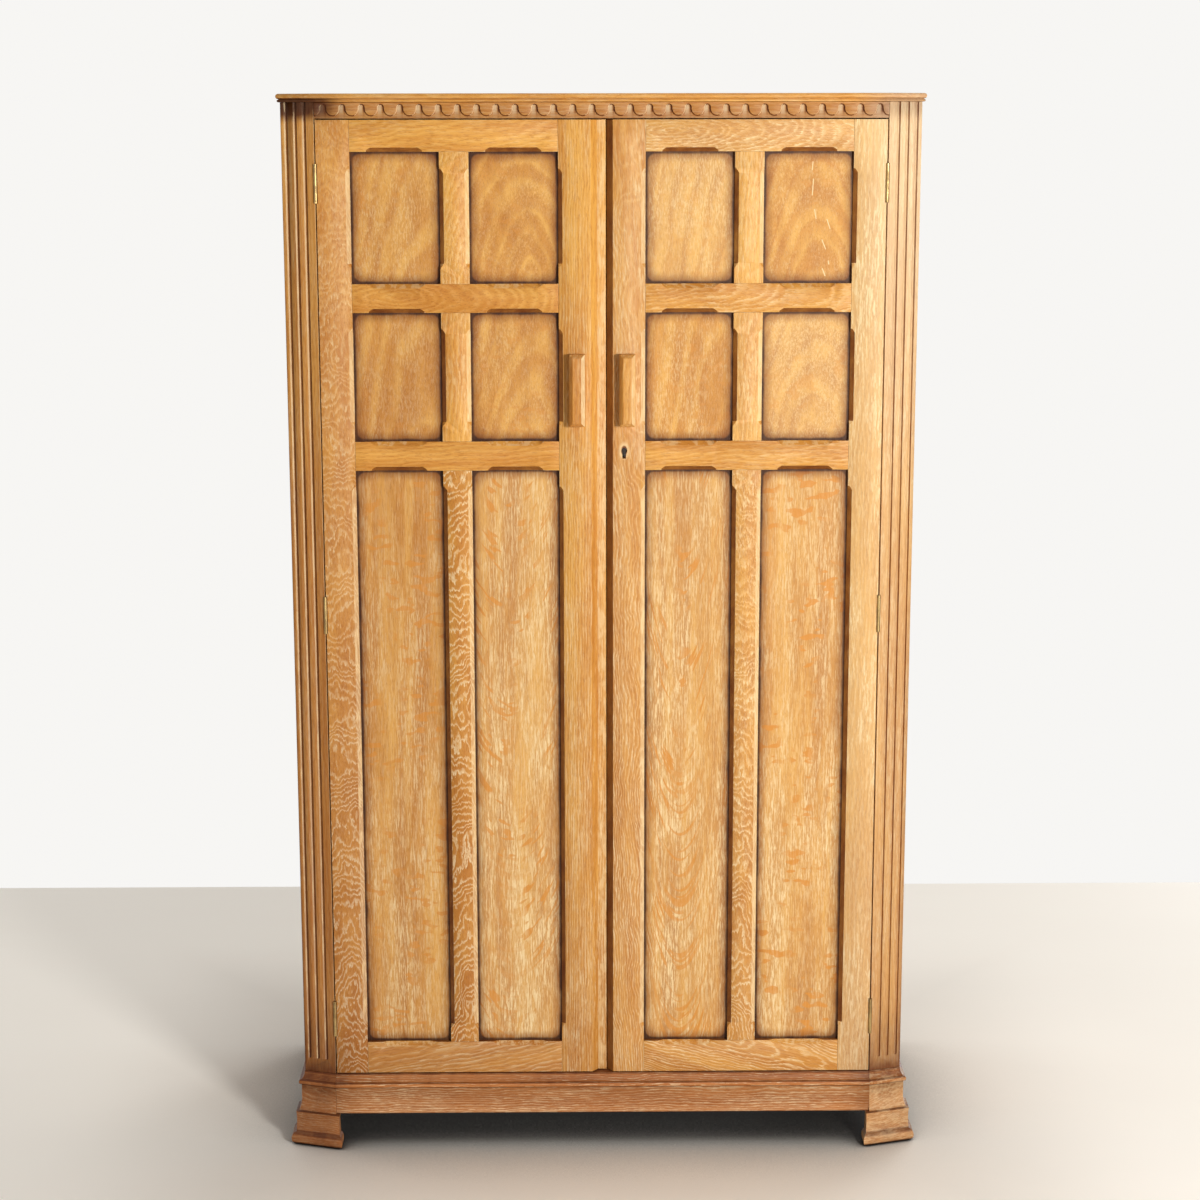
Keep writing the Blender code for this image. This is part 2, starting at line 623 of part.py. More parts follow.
def build_door(name):
    side = SIDES[name]
    width = LEFT_DOOR_WIDTH if side < 0 else RIGHT_DOOR_WIDTH
    pivot = add_pivot(f"{name}_door_pivot", (side * HINGE_AXIS_X, HINGE_AXIS_Y, 0))
    full_height = (DOOR_BOTTOM, DOOR_TOP)
    full_depth = (0, DOOR_THICKNESS)

    def place(label, bm, material, at):
        mirror_to(bm, side)
        across, high = at
        origin = (side * (HINGE_EDGE - across), DOOR_FACE, high)
        return add_part(f"{name}_{label}", bm, material, origin, pivot)

    stile = place("hinge_stile", door_box((0, HINGE_STILE_WIDTH), full_depth, full_height),
                  frame_oak, (0, DOOR_BOTTOM))
    stile_cuts(stile, HINGE_STILE_WIDTH, -1, side)
    hinge_pockets(stile, HINGE_EDGE, -1, side)

    start = MEETING_STILE_START
    brow = start + MEETING_FACE
    plan = [(start, 0), (brow, 0), (brow + MEETING_BEVEL_WIDTH, MEETING_BEVEL_DEPTH)]
    if side < 0:
        plan.append((width, MEETING_BEVEL_DEPTH))
    plan += [(width, DOOR_THICKNESS), (start, DOOR_THICKNESS)]
    bm = outline_solid([(HINGE_EDGE - u, DOOR_FACE + v) for u, v in plan], DOOR_TOP - DOOR_BOTTOM)
    bmesh.ops.translate(bm, vec=(0, 0, DOOR_BOTTOM), verts=bm.verts)
    stile = place("meeting_stile", bm, frame_oak, (start, DOOR_BOTTOM))
    stile_cuts(stile, start, 1, side)
    if side < 0:
        cut_bolt_way(stile, start)
    else:
        centre = HINGE_EDGE - start - KEYHOLE_INSET
        hole = outline_facing_front(keyhole_outline(centre, KEYHOLE_HEIGHT),
                                    DOOR_FACE - OVERCUT, DOOR_THICKNESS + 2 * OVERCUT)
        cut(stile, hole, "keyhole")

    shoulders = (HINGE_STILE_WIDTH + SEAT_GAP, start - SEAT_GAP)
    tenon_ends = (HINGE_STILE_WIDTH - TENON_LENGTH, start + TENON_LENGTH)
    for label, (low, high) in RAILS.items():
        rail = place(label, door_box(shoulders, full_depth, (low, high)), frame_oak,
                     (HINGE_STILE_WIDTH, low))
        tenons = door_box(tenon_ends, TENON_BAND, (low + TENON_SHOULDER, high - TENON_SHOULDER))
        grooves = bmesh.new()
        stubs = bmesh.new()
        wedges = bmesh.new()
        for edge, into in ((low, 1), (high, -1)):
            if edge in full_height:
                continue
            mouth = edge - into * OVERCUT
            add_door_box(grooves, (shoulders[0] - OVERCUT, shoulders[1] + OVERCUT),
                         GROOVE_BAND, (mouth, edge + into * GROOVE_DEPTH))
            stub = (MUNTIN_START + STUB_SHOULDER - SEAT_GAP,
                    MUNTIN_START + MUNTIN_WIDTH - STUB_SHOULDER + SEAT_GAP)
            add_door_box(stubs, stub, (STUB_BAND[0] - SEAT_GAP, STUB_BAND[1] + SEAT_GAP),
                         (mouth, edge + into * (STUB_LENGTH + SEAT_GAP)))
            add_chamfers_along(wedges, edge, into)
        mirror_to(tenons, side)
        fuse(rail, tenons, "tenons")
        for bm, cutter in ((grooves, "panel_groove"), (stubs, "muntin_mortise"),
                           (wedges, "chamfers")):
            mirror_to(bm, side)
            cut(rail, bm, cutter)

    for label, (low, high) in PANELS.items():
        across = (MUNTIN_START, MUNTIN_START + MUNTIN_WIDTH)
        muntin = place(f"{label}_muntin",
                       door_box(across, (0, PANEL_RECESS - SEAT_GAP),
                                (low + SEAT_GAP, high - SEAT_GAP)),
                       frame_oak, (MUNTIN_START, low))
        stub = door_box((across[0] + STUB_SHOULDER, across[1] - STUB_SHOULDER), STUB_BAND,
                        (low - STUB_LENGTH, high + STUB_LENGTH))
        wedges = bmesh.new()
        for edge, into in ((across[0], 1), (across[1], -1)):
            x = HINGE_EDGE - edge
            add_chamfer(wedges, (x, DOOR_FACE, low), (x, DOOR_FACE, high), (-into, 0, 0))
        mirror_to(stub, side)
        mirror_to(wedges, side)
        fuse(muntin, stub, "stub_tenons")
        cut(muntin, wedges, "chamfers")
        tuck = GROOVE_DEPTH - GROOVE_FLOOR_GAP
        sheet = door_box((HINGE_STILE_WIDTH - tuck, start + tuck),
                         (PANEL_RECESS, PANEL_RECESS + PANEL_THICKNESS),
                         (low - tuck, high + tuck))
        place(f"{label}_panel", sheet, panel_oak, (HINGE_STILE_WIDTH, low))

    grip = handle_shape(start + HANDLE_INSET)
    place("handle", grip, frame_oak, (start + HANDLE_INSET, HANDLE_BOTTOM))
    return pivot


def handle_shape(across):
    # A block whose sides and ends slope in towards its front.
    x = HINGE_EDGE - across
    foot = DOOR_FACE - SEAT_GAP
    brow = foot - HANDLE_PROJECTION + HANDLE_BEVEL
    tip = foot - HANDLE_PROJECTION
    rings = []
    for y, inset in ((foot, 0), (brow, 0), (tip, HANDLE_BEVEL)):
        half = HANDLE_WIDTH / 2 - inset
        low = HANDLE_BOTTOM + inset
        high = HANDLE_BOTTOM + HANDLE_HEIGHT - inset
        rings.append([(x - half, y, low), (x + half, y, low),
                      (x + half, y, high), (x - half, y, high)])
    bm = bmesh.new()
    add_loft(bm, rings)
    return bm


def bolt_places(start):
    # The left door bolt: its middle across the door, its depth and its top at rest.
    across = start + TENON_LENGTH + DOOR_BOLT_INSET
    front = DOOR_THICKNESS - DOOR_BOLT_BURY - DOOR_BOLT_THICKNESS
    return across, front, DOOR_TOP - SEAT_GAP


def cut_bolt_way(stile, start):
    across, front, top = bolt_places(start)
    half = DOOR_BOLT_WIDTH / 2 + SLIDE_GAP
    way = door_box((across - half, across + half),
                   (front - SLIDE_GAP, front + DOOR_BOLT_THICKNESS + SLIDE_GAP),
                   (top - DOOR_BOLT_LENGTH - SLIDE_GAP, DOOR_TOP + OVERCUT))
    half = BOLT_STEM_WIDTH / 2 + SLIDE_GAP
    stem = top - BOLT_STEM_DROP
    window = door_box((across - half, across + half),
                      (front, DOOR_THICKNESS + OVERCUT),
                      (stem - half, stem + half + DOOR_BOLT_THROW))
    for bm, label in ((way, "bolt_way"), (window, "bolt_window")):
        mirror_to(bm, -1)
        cut(stile, bm, label)


def build_door_bolt(pivot):
    start = MEETING_STILE_START
    across, front, top = bolt_places(start)
    half = DOOR_BOLT_WIDTH / 2
    bar = door_box((across - half, across + half), (front, front + DOOR_BOLT_THICKNESS),
                   (top - DOOR_BOLT_LENGTH, top))
    half = BOLT_STEM_WIDTH / 2
    height = top - BOLT_STEM_DROP
    knob_front = DOOR_THICKNESS + SLIDE_GAP
    stem = door_box((across - half, across + half),
                    (front + DOOR_BOLT_THICKNESS / 2, knob_front + BOLT_KNOB_DEPTH / 2),
                    (height - half, height + half))
    half = BOLT_KNOB_SIZE / 2
    knob = door_box((across - half, across + half), (knob_front, knob_front + BOLT_KNOB_DEPTH),
                    (height - half, height + half))
    for bm in (bar, stem, knob):
        mirror_to(bm, -1)
    origin = (across - HINGE_EDGE, DOOR_FACE + front + DOOR_BOLT_THICKNESS / 2, top)
    bolt = add_part("left_door_bolt", bar, brass, origin, pivot)
    fuse(bolt, stem, "stem")
    fuse(bolt, knob, "knob")


def build_lock(pivot):
    key = MEETING_STILE_START + KEYHOLE_INSET
    edge = RIGHT_DOOR_WIDTH - LOCK_SET_BACK
    front = DOOR_THICKNESS + SEAT_GAP
    low = KEYHOLE_HEIGHT - LOCK_HEIGHT / 2
    case_box = door_box((edge - LOCK_WIDTH, edge), (front, front + LOCK_DEPTH),
                        (low, low + LOCK_HEIGHT))
    case = add_part("lock_case", case_box, steel,
                    (HINGE_EDGE - key, DOOR_BACK, KEYHOLE_HEIGHT), pivot)
    hole = outline_facing_front(keyhole_outline(HINGE_EDGE - key, KEYHOLE_HEIGHT, SEAT_GAP),
                                DOOR_BACK - OVERCUT, OVERCUT + LOCK_KEY_DEPTH)
    cut(case, hole, "keyway")
    tip = RIGHT_DOOR_WIDTH - LOCK_BOLT_PROUD
    deep = (front + LOCK_BOLT_DEPTH, front + LOCK_BOLT_DEPTH + LOCK_BOLT_THICKNESS)
    high = (KEYHOLE_HEIGHT + LOCK_BOLT_RISE, KEYHOLE_HEIGHT + LOCK_BOLT_RISE + LOCK_BOLT_HEIGHT)
    way = door_box((tip - LOCK_BOLT_LENGTH - SLIDE_GAP, edge + OVERCUT),
                   (deep[0] - SLIDE_GAP, deep[1] + SLIDE_GAP),
                   (high[0] - SLIDE_GAP, high[1] + SLIDE_GAP))
    cut(case, way, "bolt_way")
    bolt = door_box((tip - LOCK_BOLT_LENGTH, tip), deep, high)
    origin = (HINGE_EDGE - tip, DOOR_FACE + sum(deep) / 2, sum(high) / 2)
    add_part("lock_bolt", bolt, brass, origin, pivot)


def hinge_leaf(owned):
    # One leaf about its pin: plate on the +X side, knuckles on the pin's line.
    # The owned knuckles are joined to the plate; the others leave room.
    step = HINGE_HEIGHT / HINGE_KNUCKLES
    low = -HINGE_HEIGHT / 2
    rim = HINGE_KNUCKLE_RADIUS + SLIDE_GAP
    outline = []
    for i in range(HINGE_KNUCKLES):
        y = 0.0 if i in owned else rim
        lift = SEAT_GAP / 2 if i in owned else -SEAT_GAP / 2
        bottom = low + i * step + (lift if i else 0)
        top = low + (i + 1) * step - (lift if i < HINGE_KNUCKLES - 1 else 0)
        outline += [(y, bottom), (y, top)]
    outline += [(HINGE_LEAF_WIDTH, -low), (HINGE_LEAF_WIDTH, low)]
    near = HINGE_GAP / 2 + HINGE_LEAF_SINK - HINGE_LEAF_THICKNESS
    plate = outline_solid(outline, HINGE_LEAF_THICKNESS)
    turn = Matrix(((0, 0, 1, near), (1, 0, 0, 0), (0, 1, 0, 0), (0, 0, 0, 1)))
    bmesh.ops.transform(plate, matrix=turn, verts=plate.verts)
    leaf = bpy.data.objects.new("leaf", mesh_from(plate, "leaf"))
    cutters.objects.link(leaf)
    knuckles = bmesh.new()
    for i in owned:
        bottom = low + i * step + (SEAT_GAP / 2 if i else 0)
        top = low + (i + 1) * step - (SEAT_GAP / 2 if i < HINGE_KNUCKLES - 1 else 0)
        add_rod(knuckles, HINGE_KNUCKLE_RADIUS, (0, 0, bottom), (0, 0, top), 10)
    fuse(leaf, knuckles, "knuckles")
    pin = bmesh.new()
    if 0 in owned:
        add_rod(pin, HINGE_PIN_RADIUS, (0, 0, low + step / 2), (0, 0, -low - step / 2), 8)
        fuse(leaf, pin, "pin")
    else:
        add_rod(pin, HINGE_PIN_RADIUS + SEAT_GAP, (0, 0, low), (0, 0, -low), 8)
        cut(leaf, pin, "pin_bore")
    bpy.context.view_layer.update()
    graph = bpy.context.evaluated_depsgraph_get()
    mesh = bpy.data.meshes.new_from_object(leaf.evaluated_get(graph))
    mesh.materials.clear()
    bpy.data.objects.remove(leaf, do_unlink=True)
    return mesh


def build_hinges(pivots):
    fixed_mesh = hinge_leaf(range(0, HINGE_KNUCKLES, 2))
    door_mesh = hinge_leaf(range(1, HINGE_KNUCKLES, 2))
    for name, side in SIDES.items():
        for label, height in HINGE_HEIGHTS.items():
            place = (side * HINGE_AXIS_X, HINGE_AXIS_Y, height)
            fixed = add_part(f"{name}_{label}_post_leaf", fixed_mesh, brass, place)
            moving = add_part(f"{name}_{label}_door_leaf", door_mesh, brass, place, pivots[name])
            fixed.rotation_euler = (0, 0 if side > 0 else math.pi, 0)
            moving.rotation_euler = (0, math.pi if side > 0 else 0, 0)


def build_post(name):
    side = SIDES[name]
    plan = [(HALF_OPENING, POST_BACK), (HALF_OPENING, DOOR_FACE),
            (HALF_WIDTH, DOOR_FACE + SPLAY_SET), (HALF_WIDTH, POST_BACK)]
    bm = outline_solid(plan, FRIEZE_TOP - CARCASE_BOTTOM)
    bmesh.ops.translate(bm, vec=(0, 0, CARCASE_BOTTOM), verts=bm.verts)
    mirror_to(bm, side)
    post = add_part(f"{name}_corner_post", bm, frame_oak,
                    (side * HALF_OPENING, DOOR_FACE, CARCASE_BOTTOM))
    flutes = bmesh.new()
    along = Vector((math.cos(SPLAY_ANGLE), math.sin(SPLAY_ANGLE), 0))
    out = Vector((math.sin(SPLAY_ANGLE), -math.cos(SPLAY_ANGLE), 0))
    for i in range(FLUTE_COUNT):
        middle = Vector((HALF_OPENING, DOOR_FACE, 0)) + along * (FLUTE_FIRST + i * FLUTE_PITCH)
        middle += out * (FLUTE_RADIUS - FLUTE_DEPTH)
        heel = CARCASE_BOTTOM + FLUTE_STOP + FLUTE_RADIUS
        levels = [(FRIEZE_TOP + OVERCUT, 1.0), (heel, 1.0)]
        for degrees in (30, 58, 82):
            turn = math.radians(degrees)
            levels.append((heel - FLUTE_RADIUS * math.sin(turn), math.cos(turn)))
        rings = []
        for height, share in reversed(levels):
            ring = []
            for k in range(12):
                turn = 2 * math.pi * k / 12 + SPLAY_ANGLE
                arm = FLUTE_RADIUS * share
                ring.append((middle.x + arm * math.cos(turn), middle.y + arm * math.sin(turn),
                             height))
            rings.append(ring)
        add_loft(flutes, rings)
    mirror_to(flutes, side)
    cut(post, flutes, "flutes")
    hinge_pockets(post, HALF_OPENING, 1, side)
    mortise = box((HALF_OPENING - OVERCUT, HALF_OPENING + FRIEZE_TENON_LENGTH),
                  [DOOR_FACE + v for v in MORTISE_BAND],
                  (FRIEZE_BOTTOM + FRIEZE_TENON_SHOULDER - SEAT_GAP,
                   FRIEZE_TOP - FRIEZE_TENON_SHOULDER + SEAT_GAP))
    middle = HALF_WIDTH - SIDE_THICKNESS / 2
    half = SIDE_TONGUE_THICKNESS / 2 + SEAT_GAP
    groove = box((middle - half, middle + half),
                 (POST_BACK - SIDE_TONGUE_LENGTH, POST_BACK + OVERCUT),
                 (CARCASE_BOTTOM - OVERCUT, FRIEZE_TOP + OVERCUT))
    for bm, label in ((mortise, "frieze_mortise"), (groove, "side_groove")):
        mirror_to(bm, side)
        cut(post, bm, label)


def build_side(name):
    side = SIDES[name]
    front = POST_BACK + SEAT_GAP
    high = (CARCASE_BOTTOM, FRIEZE_TOP)
    bm = box((PANEL_INNER_FACE, HALF_WIDTH), (front, BACK_FACE), high)
    mirror_to(bm, side)
    panel = add_part(f"{name}_side_panel", bm, carcase_wood,
                     (side * PANEL_INNER_FACE, front, CARCASE_BOTTOM))
    middle = HALF_WIDTH - SIDE_THICKNESS / 2
    half = SIDE_TONGUE_THICKNESS / 2
    tongue = box((middle - half, middle + half),
                 (POST_BACK - SIDE_TONGUE_LENGTH + SEAT_GAP, front + SIDE_TONGUE_LENGTH), high)
    mirror_to(tongue, side)
    fuse(panel, tongue, "tongue")
    rebate = box((PANEL_INNER_FACE - OVERCUT, PANEL_INNER_FACE + BACK_REBATE),
                 (BACK_PANEL_FRONT - SEAT_GAP, BACK_FACE + OVERCUT),
                 (CARCASE_BOTTOM - OVERCUT, FRIEZE_TOP + OVERCUT))
    housing = box((PANEL_INNER_FACE - OVERCUT, PANEL_INNER_FACE + HOUSING_DEPTH),
                  (POST_BACK - OVERCUT, BACK_PANEL_FRONT),
                  (SHELF_TOP - SHELF_THICKNESS - SEAT_GAP, SHELF_TOP + SEAT_GAP))
    for bm, label in ((rebate, "back_rebate"), (housing, "shelf_housing")):
        mirror_to(bm, side)
        cut(panel, bm, label)


def build_boards():
    reach = PANEL_INNER_FACE + BACK_REBATE - SEAT_GAP
    add_part("back_panel",
             box((-reach, reach), (BACK_PANEL_FRONT, BACK_FACE), (CARCASE_BOTTOM, FRIEZE_TOP)),
             carcase_wood, (0, BACK_FACE, CARCASE_BOTTOM))
    rear = BACK_PANEL_FRONT - SEAT_GAP
    reach = PANEL_INNER_FACE - SEAT_GAP
    low = CARCASE_BOTTOM
    board = add_part("bottom_board",
                     box((-reach, reach), (POST_BACK + SEAT_GAP, rear),
                         (low, low + BOTTOM_THICKNESS)),
                     carcase_wood, (0, 0, low))
    inside = HALF_OPENING - SEAT_GAP
    fuse(board, box((-inside, inside), (DOOR_BACK + STOP_GAP, rear - BACK_REBATE),
                    (low, low + BOTTOM_THICKNESS)), "door_stop")
    reach = PANEL_INNER_FACE + HOUSING_DEPTH - SEAT_GAP
    add_part("hat_shelf",
             box((-reach, reach), (POST_BACK + 2 * SEAT_GAP, rear),
                 (SHELF_TOP - SHELF_THICKNESS, SHELF_TOP)),
             carcase_wood, (0, 0, SHELF_TOP))


def build_hanging_rail():
    height = SHELF_TOP - SHELF_THICKNESS - HANGING_RAIL_DROP
    deep = (POST_BACK + BACK_PANEL_FRONT) / 2
    for name, side in SIDES.items():
        wall = PANEL_INNER_FACE - SEAT_GAP
        flange = bmesh.new()
        add_rod(flange, SOCKET_RADIUS, (wall, deep, height), (wall - SOCKET_FLANGE, deep, height), 20)
        mirror_to(flange, side)
        socket = add_part(f"{name}_rail_socket", flange, brass, (side * wall, deep, height))
        cup = bmesh.new()
        add_rod(cup, SOCKET_CUP_RADIUS, (wall - SOCKET_FLANGE / 2, deep, height),
                (wall - SOCKET_DEPTH, deep, height), 20)
        bore = bmesh.new()
        add_rod(bore, HANGING_RAIL_RADIUS + SEAT_GAP, (wall - SOCKET_FLANGE, deep, height),
                (wall - SOCKET_DEPTH - OVERCUT, deep, height), 20)
        mirror_to(cup, side)
        mirror_to(bore, side)
        fuse(socket, cup, "cup")
        cut(socket, bore, "bore")
    end = PANEL_INNER_FACE - 2 * SEAT_GAP - SOCKET_FLANGE
    rail = bmesh.new()
    add_rod(rail, HANGING_RAIL_RADIUS, (-end, deep, height), (end, deep, height), 20)
    add_part("hanging_rail", rail, steel, (0, deep, height))


def frieze_wave():
    # The carved ground below the tongues: a slot with a round head between each pair.
    length = 2 * HALF_OPENING
    pitch = length / FRIEZE_SLOTS
    slot = FRIEZE_SLOT_WIDTH / 2
    tongue = pitch / 2 - slot
    head = FRIEZE_TOP - FRIEZE_SLOT_TOP - slot
    tip = FRIEZE_BOTTOM + FRIEZE_BAND + tongue
    points = [(-length / 2 - OVERCUT, FRIEZE_BOTTOM - OVERCUT)]
    points.append((-length / 2 - OVERCUT, FRIEZE_BOTTOM + FRIEZE_BAND))
    for i in range(FRIEZE_SLOTS):
        left = -length / 2 + i * pitch
        for k in range(FRIEZE_TONGUE_STEPS + 1):
            turn = math.pi / 2 * (k / FRIEZE_TONGUE_STEPS - 1)
            points.append((left + tongue * math.cos(turn), tip + tongue * math.sin(turn)))
        for k in range(FRIEZE_HEAD_STEPS + 1):
            turn = math.pi * (1 - k / FRIEZE_HEAD_STEPS)
            points.append((left + pitch / 2 + slot * math.cos(turn), head + slot * math.sin(turn)))
        for k in range(FRIEZE_TONGUE_STEPS):
            turn = math.pi + math.pi / 2 * k / FRIEZE_TONGUE_STEPS
            points.append((left + pitch + tongue * math.cos(turn), tip + tongue * math.sin(turn)))
    points.append((length / 2 + OVERCUT, FRIEZE_BOTTOM + FRIEZE_BAND))
    points.append((length / 2 + OVERCUT, FRIEZE_BOTTOM - OVERCUT))
    return points


def build_frieze():
    end = HALF_OPENING - SEAT_GAP
    rail = add_part("frieze_rail",
                    box((-end, end), (DOOR_FACE, DOOR_FACE + FRIEZE_DEPTH),
                        (FRIEZE_BOTTOM, FRIEZE_TOP)),
                    frame_oak, (0, DOOR_FACE, FRIEZE_BOTTOM))
    reach = HALF_OPENING + FRIEZE_TENON_LENGTH - SEAT_GAP
    fuse(rail, box((-reach, reach), [DOOR_FACE + v for v in TENON_BAND],
                   (FRIEZE_BOTTOM + FRIEZE_TENON_SHOULDER, FRIEZE_TOP - FRIEZE_TENON_SHOULDER)),
         "tenons")
    carving = outline_facing_front(frieze_wave(), DOOR_FACE - OVERCUT, OVERCUT + FRIEZE_RELIEF)
    cut(rail, carving, "carving")
    across, front, top = bolt_places(MEETING_STILE_START)
    half = DOOR_BOLT_WIDTH / 2 + 2 * SLIDE_GAP
    keep = door_box((across - half, across + half),
                    (front - 2 * SLIDE_GAP, front + DOOR_BOLT_THICKNESS + 2 * SLIDE_GAP),
                    (FRIEZE_BOTTOM - OVERCUT, top + DOOR_BOLT_THROW + 2 * SLIDE_GAP))
    mirror_to(keep, -1)
    cut(rail, keep, "bolt_keep")


def build_top():
    plan = [(-HALF_WIDTH, BACK_FACE), (-HALF_WIDTH, DOOR_FACE + SPLAY_SET),
            (-HALF_OPENING, DOOR_FACE), (HALF_OPENING, DOOR_FACE),
            (HALF_WIDTH, DOOR_FACE + SPLAY_SET), (HALF_WIDTH, BACK_FACE)]
    bead_top = TOP_BOTTOM + TOP_BEAD_HEIGHT
    nose_low = bead_top + TOP_QUIRK
    nose = TOP_FACE - nose_low
    profile = []
    for i in range(6):
        turn = math.pi * i / 5
        out = TOP_BEAD_OUT - TOP_BEAD_HEIGHT / 2 * (1 - math.sin(turn))
        profile.append((TOP_BOTTOM + TOP_BEAD_HEIGHT * (1 - math.cos(turn)) / 2, out))
    for i in range(8):
        turn = math.pi * i / 7
        out = TOP_NOSING_OUT - nose / 2 * (1 - math.sin(turn))
        profile.append((nose_low + nose * (1 - math.cos(turn)) / 2, out))
    levels = [(height, [out, out, out, out, out, 0.0]) for height, out in profile]
    add_part("top_board", moulded(plan, levels), frame_oak, (0, 0, TOP_BOTTOM))


def build_plinth():
    end = HALF_OPENING - SEAT_GAP
    back = DOOR_FACE + PLINTH_RAIL_THICKNESS
    plan = [(-end, back), (-end, DOOR_FACE), (end, DOOR_FACE), (end, back)]
    profile = [(FOOT_HEIGHT, PLINTH_OUT)] + plinth_moulding()
    front_rail = add_part("plinth_front_rail",
                          moulded(plan, [(z, [0.0, out, 0.0, 0.0]) for z, out in profile]),
                          plinth_oak, (0, DOOR_FACE, FOOT_HEIGHT))
    tenon_high = (FOOT_HEIGHT + CAVETTO_HEIGHT, PLINTH_TOP - PLINTH_TENON_SHOULDER)
    tenon_front = DOOR_FACE + PLINTH_TENON_SET
    tenon_deep = (tenon_front, tenon_front + PLINTH_TENON_THICKNESS)
    reach = HALF_OPENING + PLINTH_TENON_LENGTH
    fuse(front_rail, box((-reach, reach), tenon_deep, tenon_high), "tenons")

    block_out = HALF_WIDTH
    side_inner = block_out + PLINTH_OUT - PLINTH_SIDE_THICKNESS
    tenon_mid = block_out + PLINTH_OUT - PLINTH_SIDE_THICKNESS / 2
    side_tenon = (tenon_mid - PLINTH_TENON_THICKNESS / 2, tenon_mid + PLINTH_TENON_THICKNESS / 2)
    front_end = FRONT_BLOCK_BACK - PLINTH_TENON_LENGTH
    rear_end = REAR_BLOCK_FRONT + PLINTH_TENON_LENGTH

    def room(span):
        return (min(span) - SEAT_GAP, max(span) + SEAT_GAP)

    for name, side in SIDES.items():
        plan = [(HALF_OPENING, FRONT_BLOCK_BACK), (HALF_OPENING, DOOR_FACE),
                (block_out, DOOR_FACE + SPLAY_SET), (block_out, FRONT_BLOCK_BACK)]
        bm = moulded(plan, block_levels(("inner", "outer", "outer", "plain")))
        mirror_to(bm, side)
        foot = add_part(f"{name}_front_foot", bm, plinth_oak, (side * HALF_OPENING, DOOR_FACE, 0))
        rail_mortise = box((HALF_OPENING - OVERCUT, reach + SEAT_GAP), room(tenon_deep),
                           room(tenon_high))
        side_mortise = box(room(side_tenon), (front_end - SEAT_GAP, FRONT_BLOCK_BACK + OVERCUT),
                           room(tenon_high))
        # Behind its front the foot is notched, so that only a bracket shows under the plinth.
        notch = box((HALF_OPENING - INNER_TOE_OUT - OVERCUT, HALF_OPENING + FOOT_NOTCH_WIDTH),
                    (DOOR_FACE + FOOT_BRACKET_DEPTH, FRONT_BLOCK_BACK + OVERCUT),
                    (-OVERCUT, FOOT_HEIGHT - FOOT_NOTCH_DROP))
        for bm, label in ((rail_mortise, "rail_mortise"), (side_mortise, "side_mortise"),
                          (notch, "bracket_notch")):
            mirror_to(bm, side)
            cut(foot, bm, label)

        plan = [(HALF_OPENING, BACK_FACE), (HALF_OPENING, REAR_BLOCK_FRONT),
                (block_out, REAR_BLOCK_FRONT), (block_out, BACK_FACE)]
        bm = moulded(plan, block_levels(("plain", "inner", "outer", "plain")))
        mirror_to(bm, side)
        foot = add_part(f"{name}_rear_foot", bm, plinth_oak, (side * HALF_OPENING, BACK_FACE, 0))
        side_mortise = box(room(side_tenon), (REAR_BLOCK_FRONT - OVERCUT, rear_end + SEAT_GAP),
                           room(tenon_high))
        mirror_to(side_mortise, side)
        cut(foot, side_mortise, "side_mortise")

        front = FRONT_BLOCK_BACK + SEAT_GAP
        rear = REAR_BLOCK_FRONT - SEAT_GAP
        plan = [(side_inner, rear), (side_inner, front), (block_out, front), (block_out, rear)]
        bm = moulded(plan, [(z, [0.0, 0.0, out, 0.0]) for z, out in profile])
        mirror_to(bm, side)
        rail = add_part(f"{name}_plinth_rail", bm, plinth_oak, (side * block_out, front, FOOT_HEIGHT))
        tenons = box(side_tenon, (front_end, rear_end), tenon_high)
        mirror_to(tenons, side)
        fuse(rail, tenons, "tenons")


build_plinth()
for hand in SIDES:
    build_post(hand)
    build_side(hand)
build_boards()
build_hanging_rail()
build_frieze()
build_top()
door_pivots = {hand: build_door(hand) for hand in SIDES}
build_door_bolt(door_pivots["left"])
build_lock(door_pivots["right"])
build_hinges(door_pivots)
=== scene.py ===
# Limed oak wardrobe: the looks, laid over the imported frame.
import json
import math

import bmesh
import bpy
import numpy as np
from mathutils import Matrix, Vector


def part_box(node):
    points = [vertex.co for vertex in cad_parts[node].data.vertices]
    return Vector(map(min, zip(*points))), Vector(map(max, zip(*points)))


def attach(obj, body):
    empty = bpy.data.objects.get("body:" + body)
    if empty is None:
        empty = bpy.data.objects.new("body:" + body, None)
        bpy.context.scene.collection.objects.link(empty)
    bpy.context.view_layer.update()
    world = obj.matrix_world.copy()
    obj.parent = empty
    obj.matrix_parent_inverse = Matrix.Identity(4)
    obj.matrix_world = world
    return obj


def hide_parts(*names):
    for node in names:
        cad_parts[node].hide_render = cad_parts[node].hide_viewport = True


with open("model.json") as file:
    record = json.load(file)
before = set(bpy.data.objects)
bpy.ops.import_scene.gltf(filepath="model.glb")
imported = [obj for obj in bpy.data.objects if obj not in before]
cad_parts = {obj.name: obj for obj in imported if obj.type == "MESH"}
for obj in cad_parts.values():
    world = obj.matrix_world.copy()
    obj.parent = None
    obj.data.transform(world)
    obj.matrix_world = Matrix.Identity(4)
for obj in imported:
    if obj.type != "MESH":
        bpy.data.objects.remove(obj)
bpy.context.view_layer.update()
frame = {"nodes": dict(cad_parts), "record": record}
scene = bpy.context.scene
scene.view_settings.view_transform = "Standard"
nodes = frame["nodes"]
bodies = frame["record"]["behaviour"]["bodies"]
bodyOf = {node: body for body, names in bodies.items() for node in names}
sides = {"left": -1, "right": 1}
seedStep = 1.37  # metres along the grain from one board's pattern to the next

# places read from the frame, in metres
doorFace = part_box("left_top_rail")[0].y
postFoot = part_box("right_corner_post")[0]
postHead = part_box("right_corner_post")[1]
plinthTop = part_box("plinth_front_rail")[1].z


